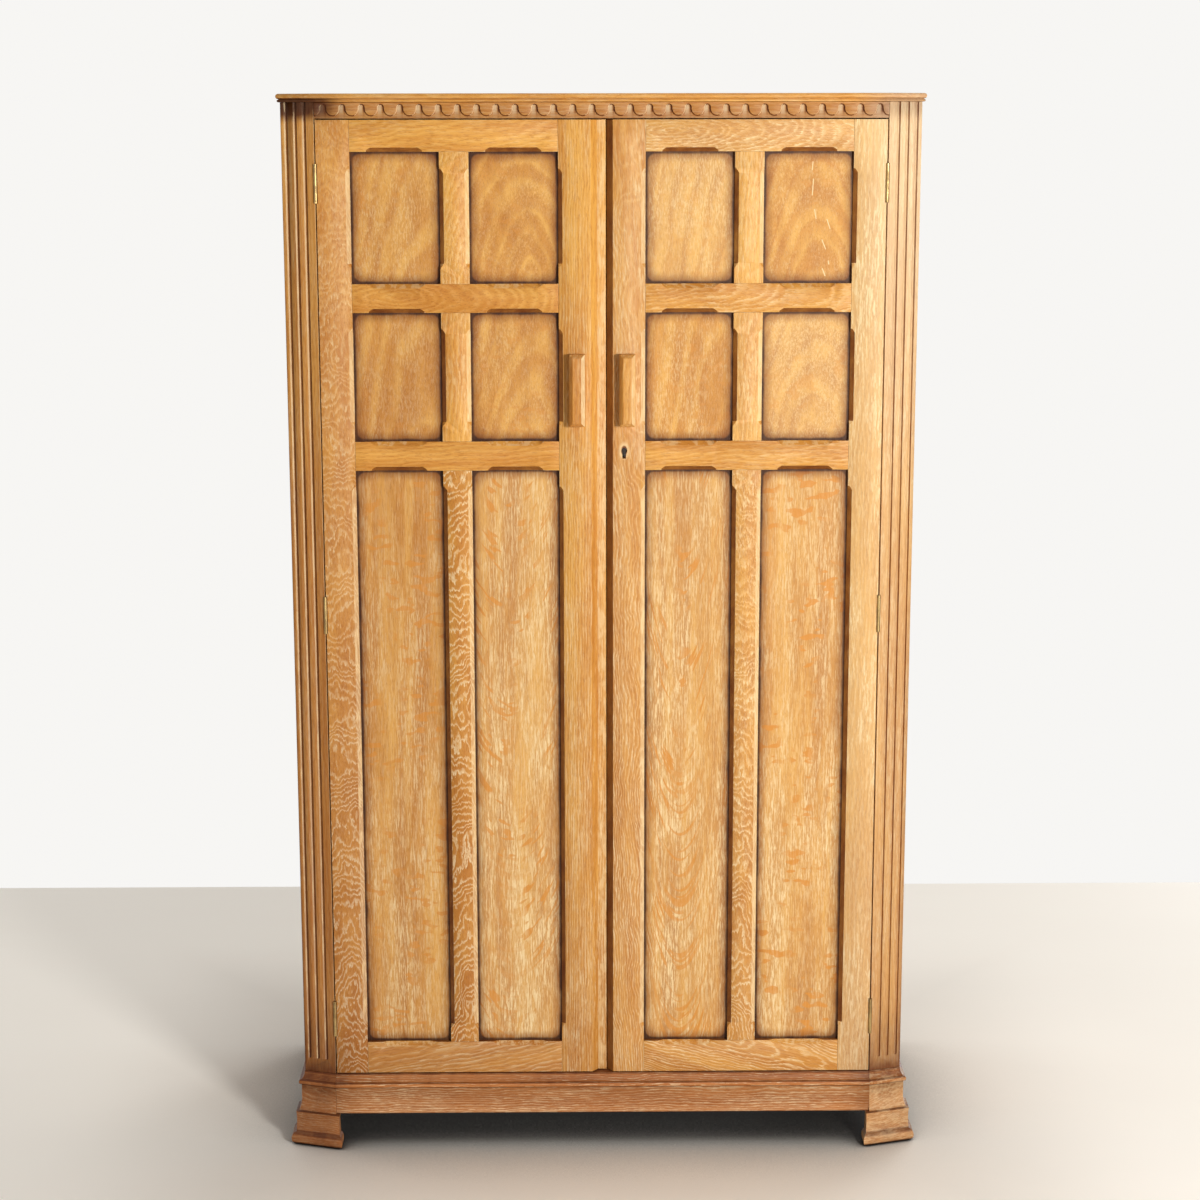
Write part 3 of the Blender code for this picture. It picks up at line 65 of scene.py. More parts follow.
# shader helpers: each one works in the tree of the sockets that it is given
def feed(value, socket):
    if isinstance(value, bpy.types.NodeSocket):
        socket.id_data.links.new(value, socket)
    else:
        socket.default_value = value


def newNode(kind, values, inputs=(0, 1, 2, 3, 4)):
    tree = next(value.id_data for value in values if isinstance(value, bpy.types.NodeSocket))
    step = tree.nodes.new(f"ShaderNode{kind}")
    for value, index in zip(values, inputs):
        feed(value, step.inputs[index])
    return step


def calc(operation, *values):
    step = newNode("Math", values)
    step.operation = operation
    return step.outputs[0]


def times(first, *others):
    for other in others:
        first = calc("MULTIPLY", first, other)
    return first


def plus(first, *others):
    for other in others:
        first = calc("ADD", first, other)
    return first


# one where the value is one, and lower by the share where it is nought
def partly(value, share):
    return calc("MULTIPLY_ADD", value, share, 1.0 - share)


def vectorCalc(operation, *values):
    step = newNode("VectorMath", values)
    step.operation = operation
    return step.outputs["Value" if operation == "LENGTH" else "Vector"]


def split(vector):
    return tuple(newNode("SeparateXYZ", [vector]).outputs)


def join(x, y, z):
    return newNode("CombineXYZ", [x, y, z]).outputs[0]


def ease(value, low, high, first=0.0, last=1.0):
    step = newNode("MapRange", [value, low, high, first, last])
    step.interpolation_type = "SMOOTHSTEP"
    return step.outputs[0]


def cloud(vector, stretch, detail=2.0, roughness=0.5):
    step = newNode("TexNoise", [vectorCalc("MULTIPLY", vector, stretch)])
    step.inputs["Scale"].default_value = 1.0
    step.inputs["Detail"].default_value = detail
    step.inputs["Roughness"].default_value = roughness
    return step.outputs["Fac"], step.outputs["Color"]


# noise that is nought below its low level and full above its high one
def patches(vector, make, first=0.0, last=1.0):
    stretch, detail, roughness, low, high = make
    return ease(cloud(vector, stretch, detail, roughness)[0], low, high, first, last)


def tint(factor, under, over, mode="MIX"):
    step = newNode("Mix", [factor, under, over], (0, 6, 7))
    step.data_type = "RGBA"
    step.blend_type = mode
    step.clamp_factor = True
    return step.outputs[2]


def attribute(tree, name, output="Vector"):
    step = tree.nodes.new("ShaderNodeAttribute")
    step.attribute_name = name
    return step.outputs[output]


def emptyMaterial(name):
    material = bpy.data.materials.new(name)
    material.use_nodes = True
    return material, material.node_tree, material.node_tree.nodes["Principled BSDF"]


def emboss(shader, height, strength, distance):
    bump = newNode("Bump", [strength, distance, height], ("Strength", "Distance", "Height"))
    feed(bump.outputs[0], shader.inputs["Normal"])


# patterns in the oak: stretch along, across and away from the heart, detail, roughness, and the
# low and high level between which each one shows
oakMake = {
    "hair": ((80.0, 760.0, 760.0), 2.0, 0.6, 0.49, 0.60),
    "prick": ((60.0, 520.0, 520.0), 3.0, 0.65, 0.53, 0.62),
    "patch": ((5.0, 26.0, 26.0), 3.0, 0.6, 0.36, 0.60),
    "broad": ((2.6, 30.0, 30.0), 3.0, 0.6, 0.32, 0.68),
    "ray": ((78.0, 36.0, 36.0), 1.0, 0.5, 0.57, 0.62),
    "group": ((6.0, 15.0, 15.0), 2.0, 0.5, 0.45, 0.57),
    "arc": ((105.0, 15.0, 15.0), 1.0, 0.5, 0.54, 0.62),
    "wearAndHighlight": (3.0, 0.65, 0.46, 0.60), "mottle": ((38.0, 38.0, 24.0), 3.0, 0.6), "fibre": (3.0, 0.68),
    "uneven": (60.0, 0.0, 0.0), "unevenRings": 1.5,
    "veinStart": (0.0, 0.13), "veinEnd": (0.22, 0.44), "latePhase": 0.45,
    "streak": (0.50, 0.58), "streakLime": 0.60, "hairLime": 0.28, "groundLime": 0.12,
    "veinStreak": 0.45, "veinPatch": 0.6,
    "arcHeights": (-0.12, 0.06), "arcShare": 0.85, "arcReach": (0.015, 0.055), "arcEnds": 0.35,
    "fullBow": 40.0, "rayCover": 0.75, "redder": (1.3, 1.1),
    "limeRough": 0.14, "poreRough": 0.08, "hollows": (0.3, 0.5, 0.5), "relief": (0.4, 0.0004),
}


# every piece carries its own grain (along, across and away from the heart, in metres), its look
# (lime along the rings, lime in the open pores, brightness) and its board (ring step in metres,
# lime all over, which also carries painted highlight, swirl); shade is stain and painted shade where
# it is above nought, and bare wear and painted highlight where it is below
def oakMaterial(name, finish):
    material, tree, shader = emptyMaterial(name)
    grain = attribute(tree, "grain")
    veins, pores, bright = split(attribute(tree, "look"))
    ring, washAndHighlight, swirl = split(attribute(tree, "board"))
    shade = attribute(tree, "shade", "Fac")
    place = tree.nodes.new("ShaderNodeTexCoord").outputs["Object"]

    # rings: distance from the heart, bent by a slow drift and by smaller waves
    bent = grain
    # boards with a swirl above one are flamed as well
    flamed = calc("MAXIMUM", calc("SUBTRACT", swirl, 1.0), 0.0)
    bends = [(swirl, size, scale) for size, scale in finish["bends"]]
    bends += [(flamed, size, scale) for size, scale in finish.get("flames", ())]
    for amount, size, scale in bends:
        swing = vectorCalc("SUBTRACT", cloud(grain, scale)[1], (0.5, 0.5, 0.5))
        reach = times(amount, size)
        swing = vectorCalc("MULTIPLY", swing, join(0.0, reach, reach))
        bent = vectorCalc("ADD", bent, swing)
    radius = vectorCalc("LENGTH", vectorCalc("MULTIPLY", bent, (0.0, 1.0, 1.0)))
    uneven = cloud(join(radius, 0.0, 0.0), oakMake["uneven"], 1.0)[0]
    fibre = cloud(grain, finish["streakScale"], *oakMake["fibre"])[0]
    count = plus(calc("DIVIDE", radius, ring), times(uneven, oakMake["unevenRings"]),
                 times(fibre, finish["feather"]))
    phase = calc("FRACT", count)
    vein = times(ease(phase, *oakMake["veinStart"]),
                 ease(phase, *oakMake["veinEnd"], 1.0, 0.0))
    late = calc("SINE", times(calc("SUBTRACT", phase, oakMake["latePhase"]), math.tau))
    late = partly(late, 0.5)

    # pores: long streaks that show from afar, and fine ones inside them
    streak = ease(fibre, *oakMake["streak"])
    hair = patches(grain, oakMake["hair"])
    prick = patches(grain, oakMake["prick"])
    patch = patches(grain, oakMake["patch"], finish["bare"])
    opened = calc("MULTIPLY_ADD", hair, oakMake["hairLime"], oakMake["groundLime"])
    opened = calc("MULTIPLY_ADD", streak, oakMake["streakLime"], opened)
    opened = times(opened, patch, pores)
    ringed = times(vein, partly(streak, oakMake["veinStreak"]),
                   partly(patch, oakMake["veinPatch"]), veins)
    limedAndHighlit = plus(opened, ringed, washAndHighlight)
    if "slots" in finish:
        slotHighlight, slotShade = carvedSlots(place, finish["slots"])
        limedAndHighlit = plus(limedAndHighlit, slotHighlight)
    limedAndHighlit = calc("MAXIMUM", calc("MINIMUM", limedAndHighlit, 1.0), 0.0)

    # colour of the wood itself
    base = tint(patches(grain, oakMake["broad"]), finish["dark"], finish["light"])
    base = tint(times(late, finish["late"]), base, finish["lateTint"], "MULTIPLY")
    base = tint(times(prick, finish["prick"]), base, finish["prickTint"], "MULTIPLY")
    if "fleck" in finish:
        rays = rayFlecks(tree, grain, finish["bowOff"])
        base = tint(rays, base, finish["fleck"])
        limedAndHighlit = times(limedAndHighlit, calc("MULTIPLY_ADD", rays, -oakMake["rayCover"], 1.0))
    base = tint(limedAndHighlit, base, finish["limeAndHighlight"])
    # darker boards are also redder
    green, blue = (calc("POWER", bright, power) for power in oakMake["redder"])
    base = tint(1.0, base, join(bright, green, blue), "MULTIPLY")

    # stain in the hollows, with painted shade on faces turned from the light; old polish and painted shade
    # at the top corners; painted sheen at the upper right; bare wood on worn edges, with painted highlight
    # on faces towards the light
    mottle = cloud(place, *oakMake["mottle"])[0]
    stainAndShade = calc("MAXIMUM", shade, 0.0)
    if "corner" in finish:
        top, low = postCorners(place)
        stainAndShade = plus(stainAndShade, times(top, finish["corner"]), times(low, finish["low"]))
    if "sheen" in finish:
        base = tint(paintedSheen(place, finish["sheen"]), base, finish["sheen"]["colour"])
    if "lines" in finish:
        stainAndShade = plus(stainAndShade, mouldingDirtAndShade(place, finish["lines"]))
    if "slots" in finish:
        stainAndShade = plus(stainAndShade, slotShade)
    if "keyhole" in finish:
        holeDirt, holeBare = keyholeWear(place, finish["keyhole"])
        stainAndShade = plus(stainAndShade, holeDirt)
    if "room" in finish:
        line, soft = panelEdge(tree, finish["room"], mottle)
        base = tint(soft, base, finish["room"]["tint"], "MULTIPLY")
        stainAndShade = plus(stainAndShade, line)
    stainAndShade = times(stainAndShade, plus(mottle, 0.5))
    base = tint(calc("MINIMUM", stainAndShade, 1.0), base, finish["stainAndShade"], "MULTIPLY")
    # the dull tint at the top corners is old polish and painted shade
    if "corner" in finish:
        base = tint(top, base, finish["polishAndShade"], "MULTIPLY")
    wearAndHighlight = patches(place, (finish["wearAndHighlight"], *oakMake["wearAndHighlight"]))
    wearAndHighlight = times(wearAndHighlight, calc("MAXIMUM", times(shade, -1.0), 0.0))
    if "keyhole" in finish:
        wearAndHighlight = calc("MAXIMUM", wearAndHighlight, holeBare)
    if "scratches" in finish:
        wearAndHighlight = calc("MAXIMUM", wearAndHighlight, scratchMarks(place, finish["scratches"]))
    # the pale tint paints bare wear and painted highlight alike
    base = tint(wearAndHighlight, base, finish["limeAndHighlight"])
    feed(base, shader.inputs["Base Color"])

    rough = calc("MULTIPLY_ADD", limedAndHighlit, oakMake["limeRough"], finish["rough"])
    rough = plus(rough, times(prick, oakMake["poreRough"]))
    feed(rough, shader.inputs["Roughness"])
    hollows = [times(value, -deep) for value, deep in zip((vein, streak, prick), oakMake["hollows"])]
    emboss(shader, plus(*hollows), *oakMake["relief"])
    shader.inputs["Specular IOR Level"].default_value = finish["gloss"]
    return material


# ray flecks, short and broken across the grain, and long bowed ones towards the floor
def rayFlecks(tree, grain, bowOff):
    x, z, bow = split(attribute(tree, "cell"))
    off = plus(x, bowOff)
    bowed = vectorCalc("SUBTRACT", grain, join(times(off, off, bow), 0.0, 0.0))
    rays = times(patches(bowed, oakMake["ray"]), patches(grain, oakMake["group"]),
                 attribute(tree, "fleck", "Fac"))
    low = ease(z, *oakMake["arcHeights"], oakMake["arcShare"], 0.0)
    near = ease(calc("ABSOLUTE", off), *oakMake["arcReach"], 1.0, oakMake["arcEnds"])
    curved = ease(bow, 0.0, oakMake["fullBow"])
    arcs = times(patches(bowed, oakMake["arc"]), low, near, curved)
    return calc("MAXIMUM", rays, arcs)


cornerMake = {"across": (0.41, 0.50), "down": (0.036, 0.008), "over": (0.004, 0.008), "overShare": 0.15,
              "leftToRight": (-0.30, 0.30), "rightShare": 0.20, "dirtAndShade": 0.16}


# dark at the top of the posts: old polish and painted shade, most at the left, away from the light;
# and darker towards their feet
def postCorners(place):
    x, y, z = split(place)
    side = ease(calc("ABSOLUTE", x), *cornerMake["across"])
    up = ease(z, *(postHead.z - drop for drop in cornerMake["down"]))
    below = ease(z, *(postHead.z + rise for rise in cornerMake["over"]), 1.0, cornerMake["overShare"])
    left = ease(x, *cornerMake["leftToRight"], 1.0, cornerMake["rightShare"])
    low = ease(z, postFoot.z, postFoot.z + cornerMake["dirtAndShade"], 1.0, 0.0)
    return times(side, up, below, left), times(side, low)


# painted sheen: the upper part of the right post is paler, where the light glances off it
def paintedSheen(place, sheen):
    x, y, z = split(place)
    return times(ease(x, *sheen["across"]), ease(z, *sheen["up"], 0.0, sheen["share"]))


lineCore = 0.35  # share of a dirty line's half width that is dark throughout


# dirt and painted shade along the mouldings, in the gap, the cove, the quirks and at the floor:
# height, half width and strength of each line
def mouldingDirtAndShade(place, lines):
    height = split(place)[2]
    dirtAndShade = 0.0
    for level, half, strength in lines:
        off = calc("ABSOLUTE", calc("SUBTRACT", height, level))
        dirtAndShade = calc("MAXIMUM", dirtAndShade, ease(off, half * lineCore, half, strength, 0.0))
    return dirtAndShade


# carved slots: painted highlight in lime on the side towards the light, painted shade on the other
def carvedSlots(place, slots):
    x, y, z = split(place)

    def widths(label):
        return (slots["half"] * share for share in slots[label])

    step = calc("SUBTRACT", calc("FRACT", calc("DIVIDE", x, slots["pitch"])), 0.5)
    off = times(step, slots["pitch"])
    over = calc("MAXIMUM", calc("SUBTRACT", z, slots["head"]), 0.0)
    reach = vectorCalc("LENGTH", join(off, over, 0.0))
    inside = times(ease(reach, *widths("rim"), 1.0, 0.0),
                   ease(z, slots["foot"], slots["full"], slots["footShare"], 1.0),
                   ease(y, *(doorFace + depth for depth in slots["depths"]), 1.0, 0.0))
    pale = ease(off, *widths("paleSpan"), slots["limeAndHighlight"], 0.0)
    dark = ease(off, *widths("darkSpan"), 0.0, slots["dirtAndShade"])
    return times(inside, pale), times(inside, dark)


# dirt and bare wood round the keyhole
def keyholeWear(place, hole):
    away = vectorCalc("SUBTRACT", place, hole["place"])
    reach = vectorCalc("LENGTH", vectorCalc("MULTIPLY", away, hole["shape"]))
    dirtAndShade = ease(reach, hole["inner"], hole["outer"], 1.0, 0.0)
    bare = times(ease(reach, hole["inner"], hole["outer"]),
                 ease(reach, hole["outer"], hole["bareOuter"], 1.0, 0.0), hole["bare"])
    return dirtAndShade, bare


# thin scratches, each from one place on the panel's face to another
def scratchMarks(place, scratches):
    mark = 0.0
    flat = vectorCalc("MULTIPLY", place, (1.0, 0.0, 1.0))
    for first, last in scratches["lines"]:
        run = last - first
        away = vectorCalc("SUBTRACT", flat, tuple(first))
        x, y, z = split(away)
        step = run / run.length_squared
        share = plus(times(x, step.x), times(z, step.z))
        share = calc("MINIMUM", calc("MAXIMUM", share, 0.0), 1.0)
        near = vectorCalc("MULTIPLY", tuple(run), join(share, share, share))
        off = vectorCalc("LENGTH", vectorCalc("SUBTRACT", away, near))
        pale = ease(off, scratches["core"], scratches["half"], scratches["pale"], 0.0)
        mark = calc("MAXIMUM", mark, pale)
    return mark


# darkened rim of a panel: a firm line in the corner of the frame, dirt and painted shade cast by the
# frame, and a soft shadow round it
def panelEdge(tree, room, mottle):
    half = attribute(tree, "room")
    reach = vectorCalc("SUBTRACT", half, vectorCalc("ABSOLUTE", attribute(tree, "cell")))
    depths = []
    for radius in (room["lineCorner"], room["corner"]):
        inner = vectorCalc("SUBTRACT", (radius, radius, 0.0), reach)
        inner = vectorCalc("MULTIPLY", inner, (1.0, 1.0, 0.0))
        depths.append(vectorCalc("LENGTH", vectorCalc("MAXIMUM", inner, (0.0, 0.0, 0.0))))
    ragged = calc("MULTIPLY_ADD", mottle, room["ragged"], -room["ragged"] / 2)
    shallow = calc("MULTIPLY_ADD", ragged, room["lineRagged"], depths[0])
    line = ease(shallow, room["lineCorner"] - room["lineOut"], room["lineCorner"] - room["lineIn"])
    soft = ease(plus(depths[1], ragged), room["softIn"], room["softOut"])
    return times(line, room["line"]), times(soft, room["soft"])


frameFinish = {
    "light": (0.742, 0.372, 0.076, 1), "dark": (0.592, 0.248, 0.040, 1), "limeAndHighlight": (0.872, 0.668, 0.366, 1),
    "lateTint": (0.84, 0.72, 0.58, 1), "prickTint": (0.72, 0.60, 0.48, 1), "stainAndShade": (0.27, 0.165, 0.12, 1),
    "polishAndShade": (0.42, 0.44, 0.55, 1),
    "late": 0.60, "prick": 0.6, "corner": 1.7, "low": 0.50, "feather": 1.1,
    "keyhole": {"place": (0.037, 0.0, 1.2374), "shape": (1.0, 0.0, 0.62), "inner": 0.0042,
                "outer": 0.0062, "bareOuter": 0.01116, "bare": 0.55},
    # painted sheen on the right post's upper part
    "sheen": {"across": (0.40, 0.49), "up": (1.05, 1.70), "share": 0.25, "colour": (0.80, 0.67, 0.52, 1)},
    "bends": ((0.040, (9.0, 10.0, 10.0)), (0.0048, (40.0, 90.0, 90.0)), (0.0020, (90.0, 200.0, 200.0))),
    "flames": ((0.095, (9.0, 34.0, 34.0)),),
    "streakScale": (30.0, 340.0, 340.0), "wearAndHighlight": (90.0, 90.0, 26.0),
    "rough": 0.42, "gloss": 0.24, "bare": 0.40,
}
# scratches on the upper right panel, as shares of its opening from the left and from the top
scratchBox = (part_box("right_upper_muntin")[1].x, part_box("right_hinge_stile")[0].x,
              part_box("right_top_rail")[0].z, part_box("right_upper_cross_rail")[1].z)
scratchShares = (
    (0.547, 0.08, 0.541, 0.14), (0.556, 0.21, 0.545, 0.33), (0.574, 0.44, 0.592, 0.51),
    (0.715, 0.515, 0.750, 0.585), (0.662, 0.67, 0.704, 0.74), (0.736, 0.83, 0.742, 0.855),
    (0.671, 0.89, 0.703, 0.945),
)


def onPanel(across, down):
    left, right, top, bottom = scratchBox
    return Vector((left + across * (right - left), 0, top + down * (bottom - top)))


panelFinish = {
    "scratches": {"lines": [(onPanel(*s[:2]), onPanel(*s[2:])) for s in scratchShares],
                  "core": 0.00044, "half": 0.0011, "pale": 0.95},
    "light": (0.728, 0.378, 0.084, 1), "dark": (0.572, 0.255, 0.047, 1), "limeAndHighlight": (0.868, 0.665, 0.360, 1),
    "lateTint": (0.82, 0.68, 0.50, 1), "prickTint": (0.74, 0.62, 0.50, 1), "stainAndShade": (0.20, 0.16, 0.17, 1),
    "fleck": (0.655, 0.265, 0.040, 1), "bowOff": 0.011, "late": 0.85, "prick": 0.5, "feather": 0.5,
    "bends": ((0.060, (4.0, 8.0, 8.0)), (0.0060, (30.0, 55.0, 55.0))),
    "streakScale": (24.0, 420.0, 420.0), "wearAndHighlight": (90.0, 90.0, 26.0),
    "rough": 0.44, "gloss": 0.24, "bare": 0.42,
    "room": {"lineIn": 0.0018, "lineOut": 0.0060, "line": 0.95, "lineCorner": 0.016, "lineRagged": 0.25,
             "corner": 0.030, "softIn": 0.009, "softOut": 0.032, "soft": 0.95, "ragged": 0.010,
             "tint": (0.40, 0.29, 0.24, 1)},
}
plinthFinish = dict(
    frameFinish,
    light=(0.660, 0.275, 0.082, 1), dark=(0.490, 0.180, 0.048, 1), limeAndHighlight=(0.880, 0.640, 0.360, 1),
    streakScale=(44.0, 340.0, 340.0), wearAndHighlight=(40.0, 40.0, 150.0), stainAndShade=(0.24, 0.17, 0.14, 1),
    # dark lines of dirt and painted shade: the gap under the doors, the cove, the quirks, the joint of feet
    # and plinth, the ankle and the floor
    lines=((plinthTop, 0.0045, 0.80), (plinthTop - 0.009, 0.0080, 0.38), (plinthTop - 0.0150, 0.0018, 0.75),
           (plinthTop - 0.0236, 0.0018, 0.80), (0.0600, 0.0016, 0.65), (0.0215, 0.0055, 0.45),
           (0.0, 0.0050, 0.50)),
)
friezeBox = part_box("frieze_rail")
# the frieze's slots carry painted highlight and painted shade
friezeFinish = dict(frameFinish, slots={
    "pitch": 2 * postFoot.x / 30, "half": 0.0051, "head": friezeBox[1].z - 0.0081,
    "full": friezeBox[1].z - 0.0101, "foot": friezeBox[0].z + 0.0045, "footShare": 0.15,
    "depths": (0.005, 0.008), "rim": (0.92, 1.06), "paleSpan": (-0.1, 0.6), "darkSpan": (0.25, 0.75),
    "limeAndHighlight": 0.75, "dirtAndShade": 0.75})
carcaseFinish = dict(
    frameFinish,
    light=(0.640, 0.400, 0.180, 1), dark=(0.520, 0.295, 0.115, 1), limeAndHighlight=(0.700, 0.500, 0.290, 1),
    bends=((0.05, (2.5, 6.0, 6.0)), (0.004, (30.0, 60.0, 60.0))), late=0.5, rough=0.55, gloss=0.2,
)
sideFinish = dict(
    carcaseFinish,
    light=(0.720, 0.375, 0.100, 1), dark=(0.565, 0.262, 0.060, 1), limeAndHighlight=(0.850, 0.640, 0.350, 1),
)
# what only the front has
for extra in ("corner", "polishAndShade", "low", "keyhole", "sheen", "flames"):
    del carcaseFinish[extra], sideFinish[extra]
oak = {
    "frame_oak": oakMaterial("limed_frame_oak", frameFinish),
    "frieze": oakMaterial("carved_frieze_oak", friezeFinish),
    "panel_oak": oakMaterial("shaded_panel_oak", panelFinish),
    "plinth_oak": oakMaterial("stained_plinth_oak", plinthFinish),
    "carcase_wood": oakMaterial("plain_carcase_wood", carcaseFinish),
    "side": oakMaterial("side_oak", sideFinish),
}
print("oak finishes:", len(oak))


metalMake = {
    "tarnish": ((120.0, 120.0, 45.0), 4.0, 0.6), "worn": (0.35, 0.65), "polished": (0.3, 0.7),
    "dullRough": 0.14, "scratch": (900.0, 900.0, 120.0), "relief": (0.12, 0.0002),
}


# metal that is duller in patches; faces marked with grime and painted shade, the screw slots' floors,
# are dark
def metalMaterial(name, finish):
    material, tree, shader = emptyMaterial(name)
    place = tree.nodes.new("ShaderNodeTexCoord").outputs["Object"]
    tarnish = cloud(place, *metalMake["tarnish"])[0]
    colour = tint(ease(tarnish, *metalMake["worn"]), finish["dull"], finish["bright"])
    colour = tint(attribute(tree, "grimeAndShade", "Fac"), colour, finish["grimeAndShade"])
    feed(colour, shader.inputs["Base Color"])
    dullest = finish["rough"] + metalMake["dullRough"]
    rough = ease(tarnish, *metalMake["polished"], dullest, finish["rough"])
    feed(rough, shader.inputs["Roughness"])
    emboss(shader, cloud(place, metalMake["scratch"])[0], *metalMake["relief"])
    shader.inputs["Metallic"].default_value = 1.0
    return material


metal = {
    "brass": metalMaterial("old_brass", {
        "bright": (0.56, 0.40, 0.17, 1), "dull": (0.30, 0.20, 0.085, 1),
        "grimeAndShade": (0.03, 0.02, 0.012, 1), "rough": 0.36}),
    "steel": metalMaterial("plain_steel", {
        "bright": (0.42, 0.40, 0.38, 1), "dull": (0.31, 0.29, 0.27, 1),
        "grimeAndShade": (0.03, 0.025, 0.02, 1), "rough": 0.40}),
}
print("metals:", len(metal))


# mesh helpers: lengths in metres, angles in degrees
meshMake = {"weld": 0.00001, "flat": 0.4, "arrisAngle": 35, "sliver": 0.000003, "smooth": 38}
plainBoard = (0.0062, 0.0, 0.6)


def fetch(nodeName):
    bm = bmesh.new()
    bm.from_mesh(nodes[nodeName].data)
    bmesh.ops.remove_doubles(bm, verts=bm.verts, dist=meshMake["weld"])
    bmesh.ops.dissolve_limit(bm, angle_limit=math.radians(meshMake["flat"]), verts=bm.verts, edges=bm.edges)
    return bm


def bevelEdges(bm, edges, width, segments):
    bmesh.ops.bevel(bm, geom=edges, offset=width, offset_type="OFFSET", affect="EDGES",
                    segments=segments, profile=0.5, material=-1, clamp_overlap=True)


def easeArrises(bm, width, segments, shortest):
    sharp = math.radians(meshMake["arrisAngle"])
    edges = [edge for edge in bm.edges if edge.is_manifold and edge.calc_length() >= shortest
             and edge.is_convex and edge.calc_face_angle() > sharp]
    bevelEdges(bm, edges, width, segments)
    bmesh.ops.dissolve_degenerate(bm, dist=meshMake["sliver"], edges=bm.edges)


def addBox(bm, low, high):
    low, high = Vector(low), Vector(high)
    matrix = Matrix.Translation((low + high) / 2) @ Matrix.Diagonal((*(high - low), 1))
    bmesh.ops.create_cube(bm, size=1.0, matrix=matrix)


def cornerPoints(mesh):
    owner = np.empty(len(mesh.loops), np.int32)
    mesh.loops.foreach_get("vertex_index", owner)
    points = np.empty(len(mesh.vertices) * 3, np.float32)
    mesh.vertices.foreach_get("co", points)
    return points.reshape(-1, 3)[owner]


def put(mesh, name, values):
    values = np.ascontiguousarray(values, np.float32)
    kind, field = ("FLOAT", "value") if values.ndim == 1 else ("FLOAT_VECTOR", "vector")
    mesh.attributes.new(name, kind, "CORNER").data.foreach_set(field, values.ravel())


def layGrain(mesh, layout):
    points = cornerPoints(mesh)
    corners = len(points)
    along, across, deep = ("xyz".index(letter) for letter in layout["axes"])
    run = points - (points.min(0) + points.max(0)) / 2
    heart, depth, slope, seed = layout["heart"]
    grain = np.empty((corners, 3), np.float32)
    grain[:, 0] = run[:, along] + seed * seedStep
    grain[:, 1] = run[:, across] - heart - layout.get("slant", 0.0) * run[:, along]
    grain[:, 2] = run[:, deep] + depth + slope * run[:, along]
    put(mesh, "grain", grain)
    # the look may change from the low end of the grain to the high end
    share = (run[:, along] / np.ptp(points[:, along]) + 0.5)[:, None]
    first = np.array(layout["look"], np.float32)
    last = np.array(layout.get("farLook", layout["look"]), np.float32)
    put(mesh, "look", first + (last - first) * share)
    board = np.tile(np.array(layout.get("board", plainBoard), np.float32), (corners, 1))
    shade = np.zeros(corners, np.float32)
    if "shade" in layout:
        for face in mesh.polygons:
            for corner in face.loop_indices:
                shade[corner], limeAndHighlight = layout["shade"](face, Vector(points[corner]))
                board[corner, 1] += limeAndHighlight
    put(mesh, "board", board)
    put(mesh, "shade", shade)


def placePiece(bm, name, body, material, stands=(), layout=None):
    mesh = bpy.data.meshes.new(name)
    bm.to_mesh(mesh)
    bm.free()
    mesh.polygons.foreach_set("use_smooth", [True] * len(mesh.polygons))
    mesh.set_sharp_from_angle(angle=math.radians(meshMake["smooth"]))
    mesh.materials.append(material)
    if layout:
        layGrain(mesh, layout)
    piece = bpy.data.objects.new(name, mesh)
    scene.collection.objects.link(piece)
    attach(piece, body)
    if stands:
        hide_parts(*stands)
    return piece


# arris: width, segments and the shortest edge that is eased
def woodPiece(nodeName, slotName, layout, arris=(0.0008, 2, 0.012)):
    bm = fetch(nodeName)
    if arris:
        easeArrises(bm, *arris)
    material = oak[layout.get("finish", slotName)]
    placePiece(bm, f"{nodeName}_dressed", bodyOf[nodeName], material, [nodeName], layout)


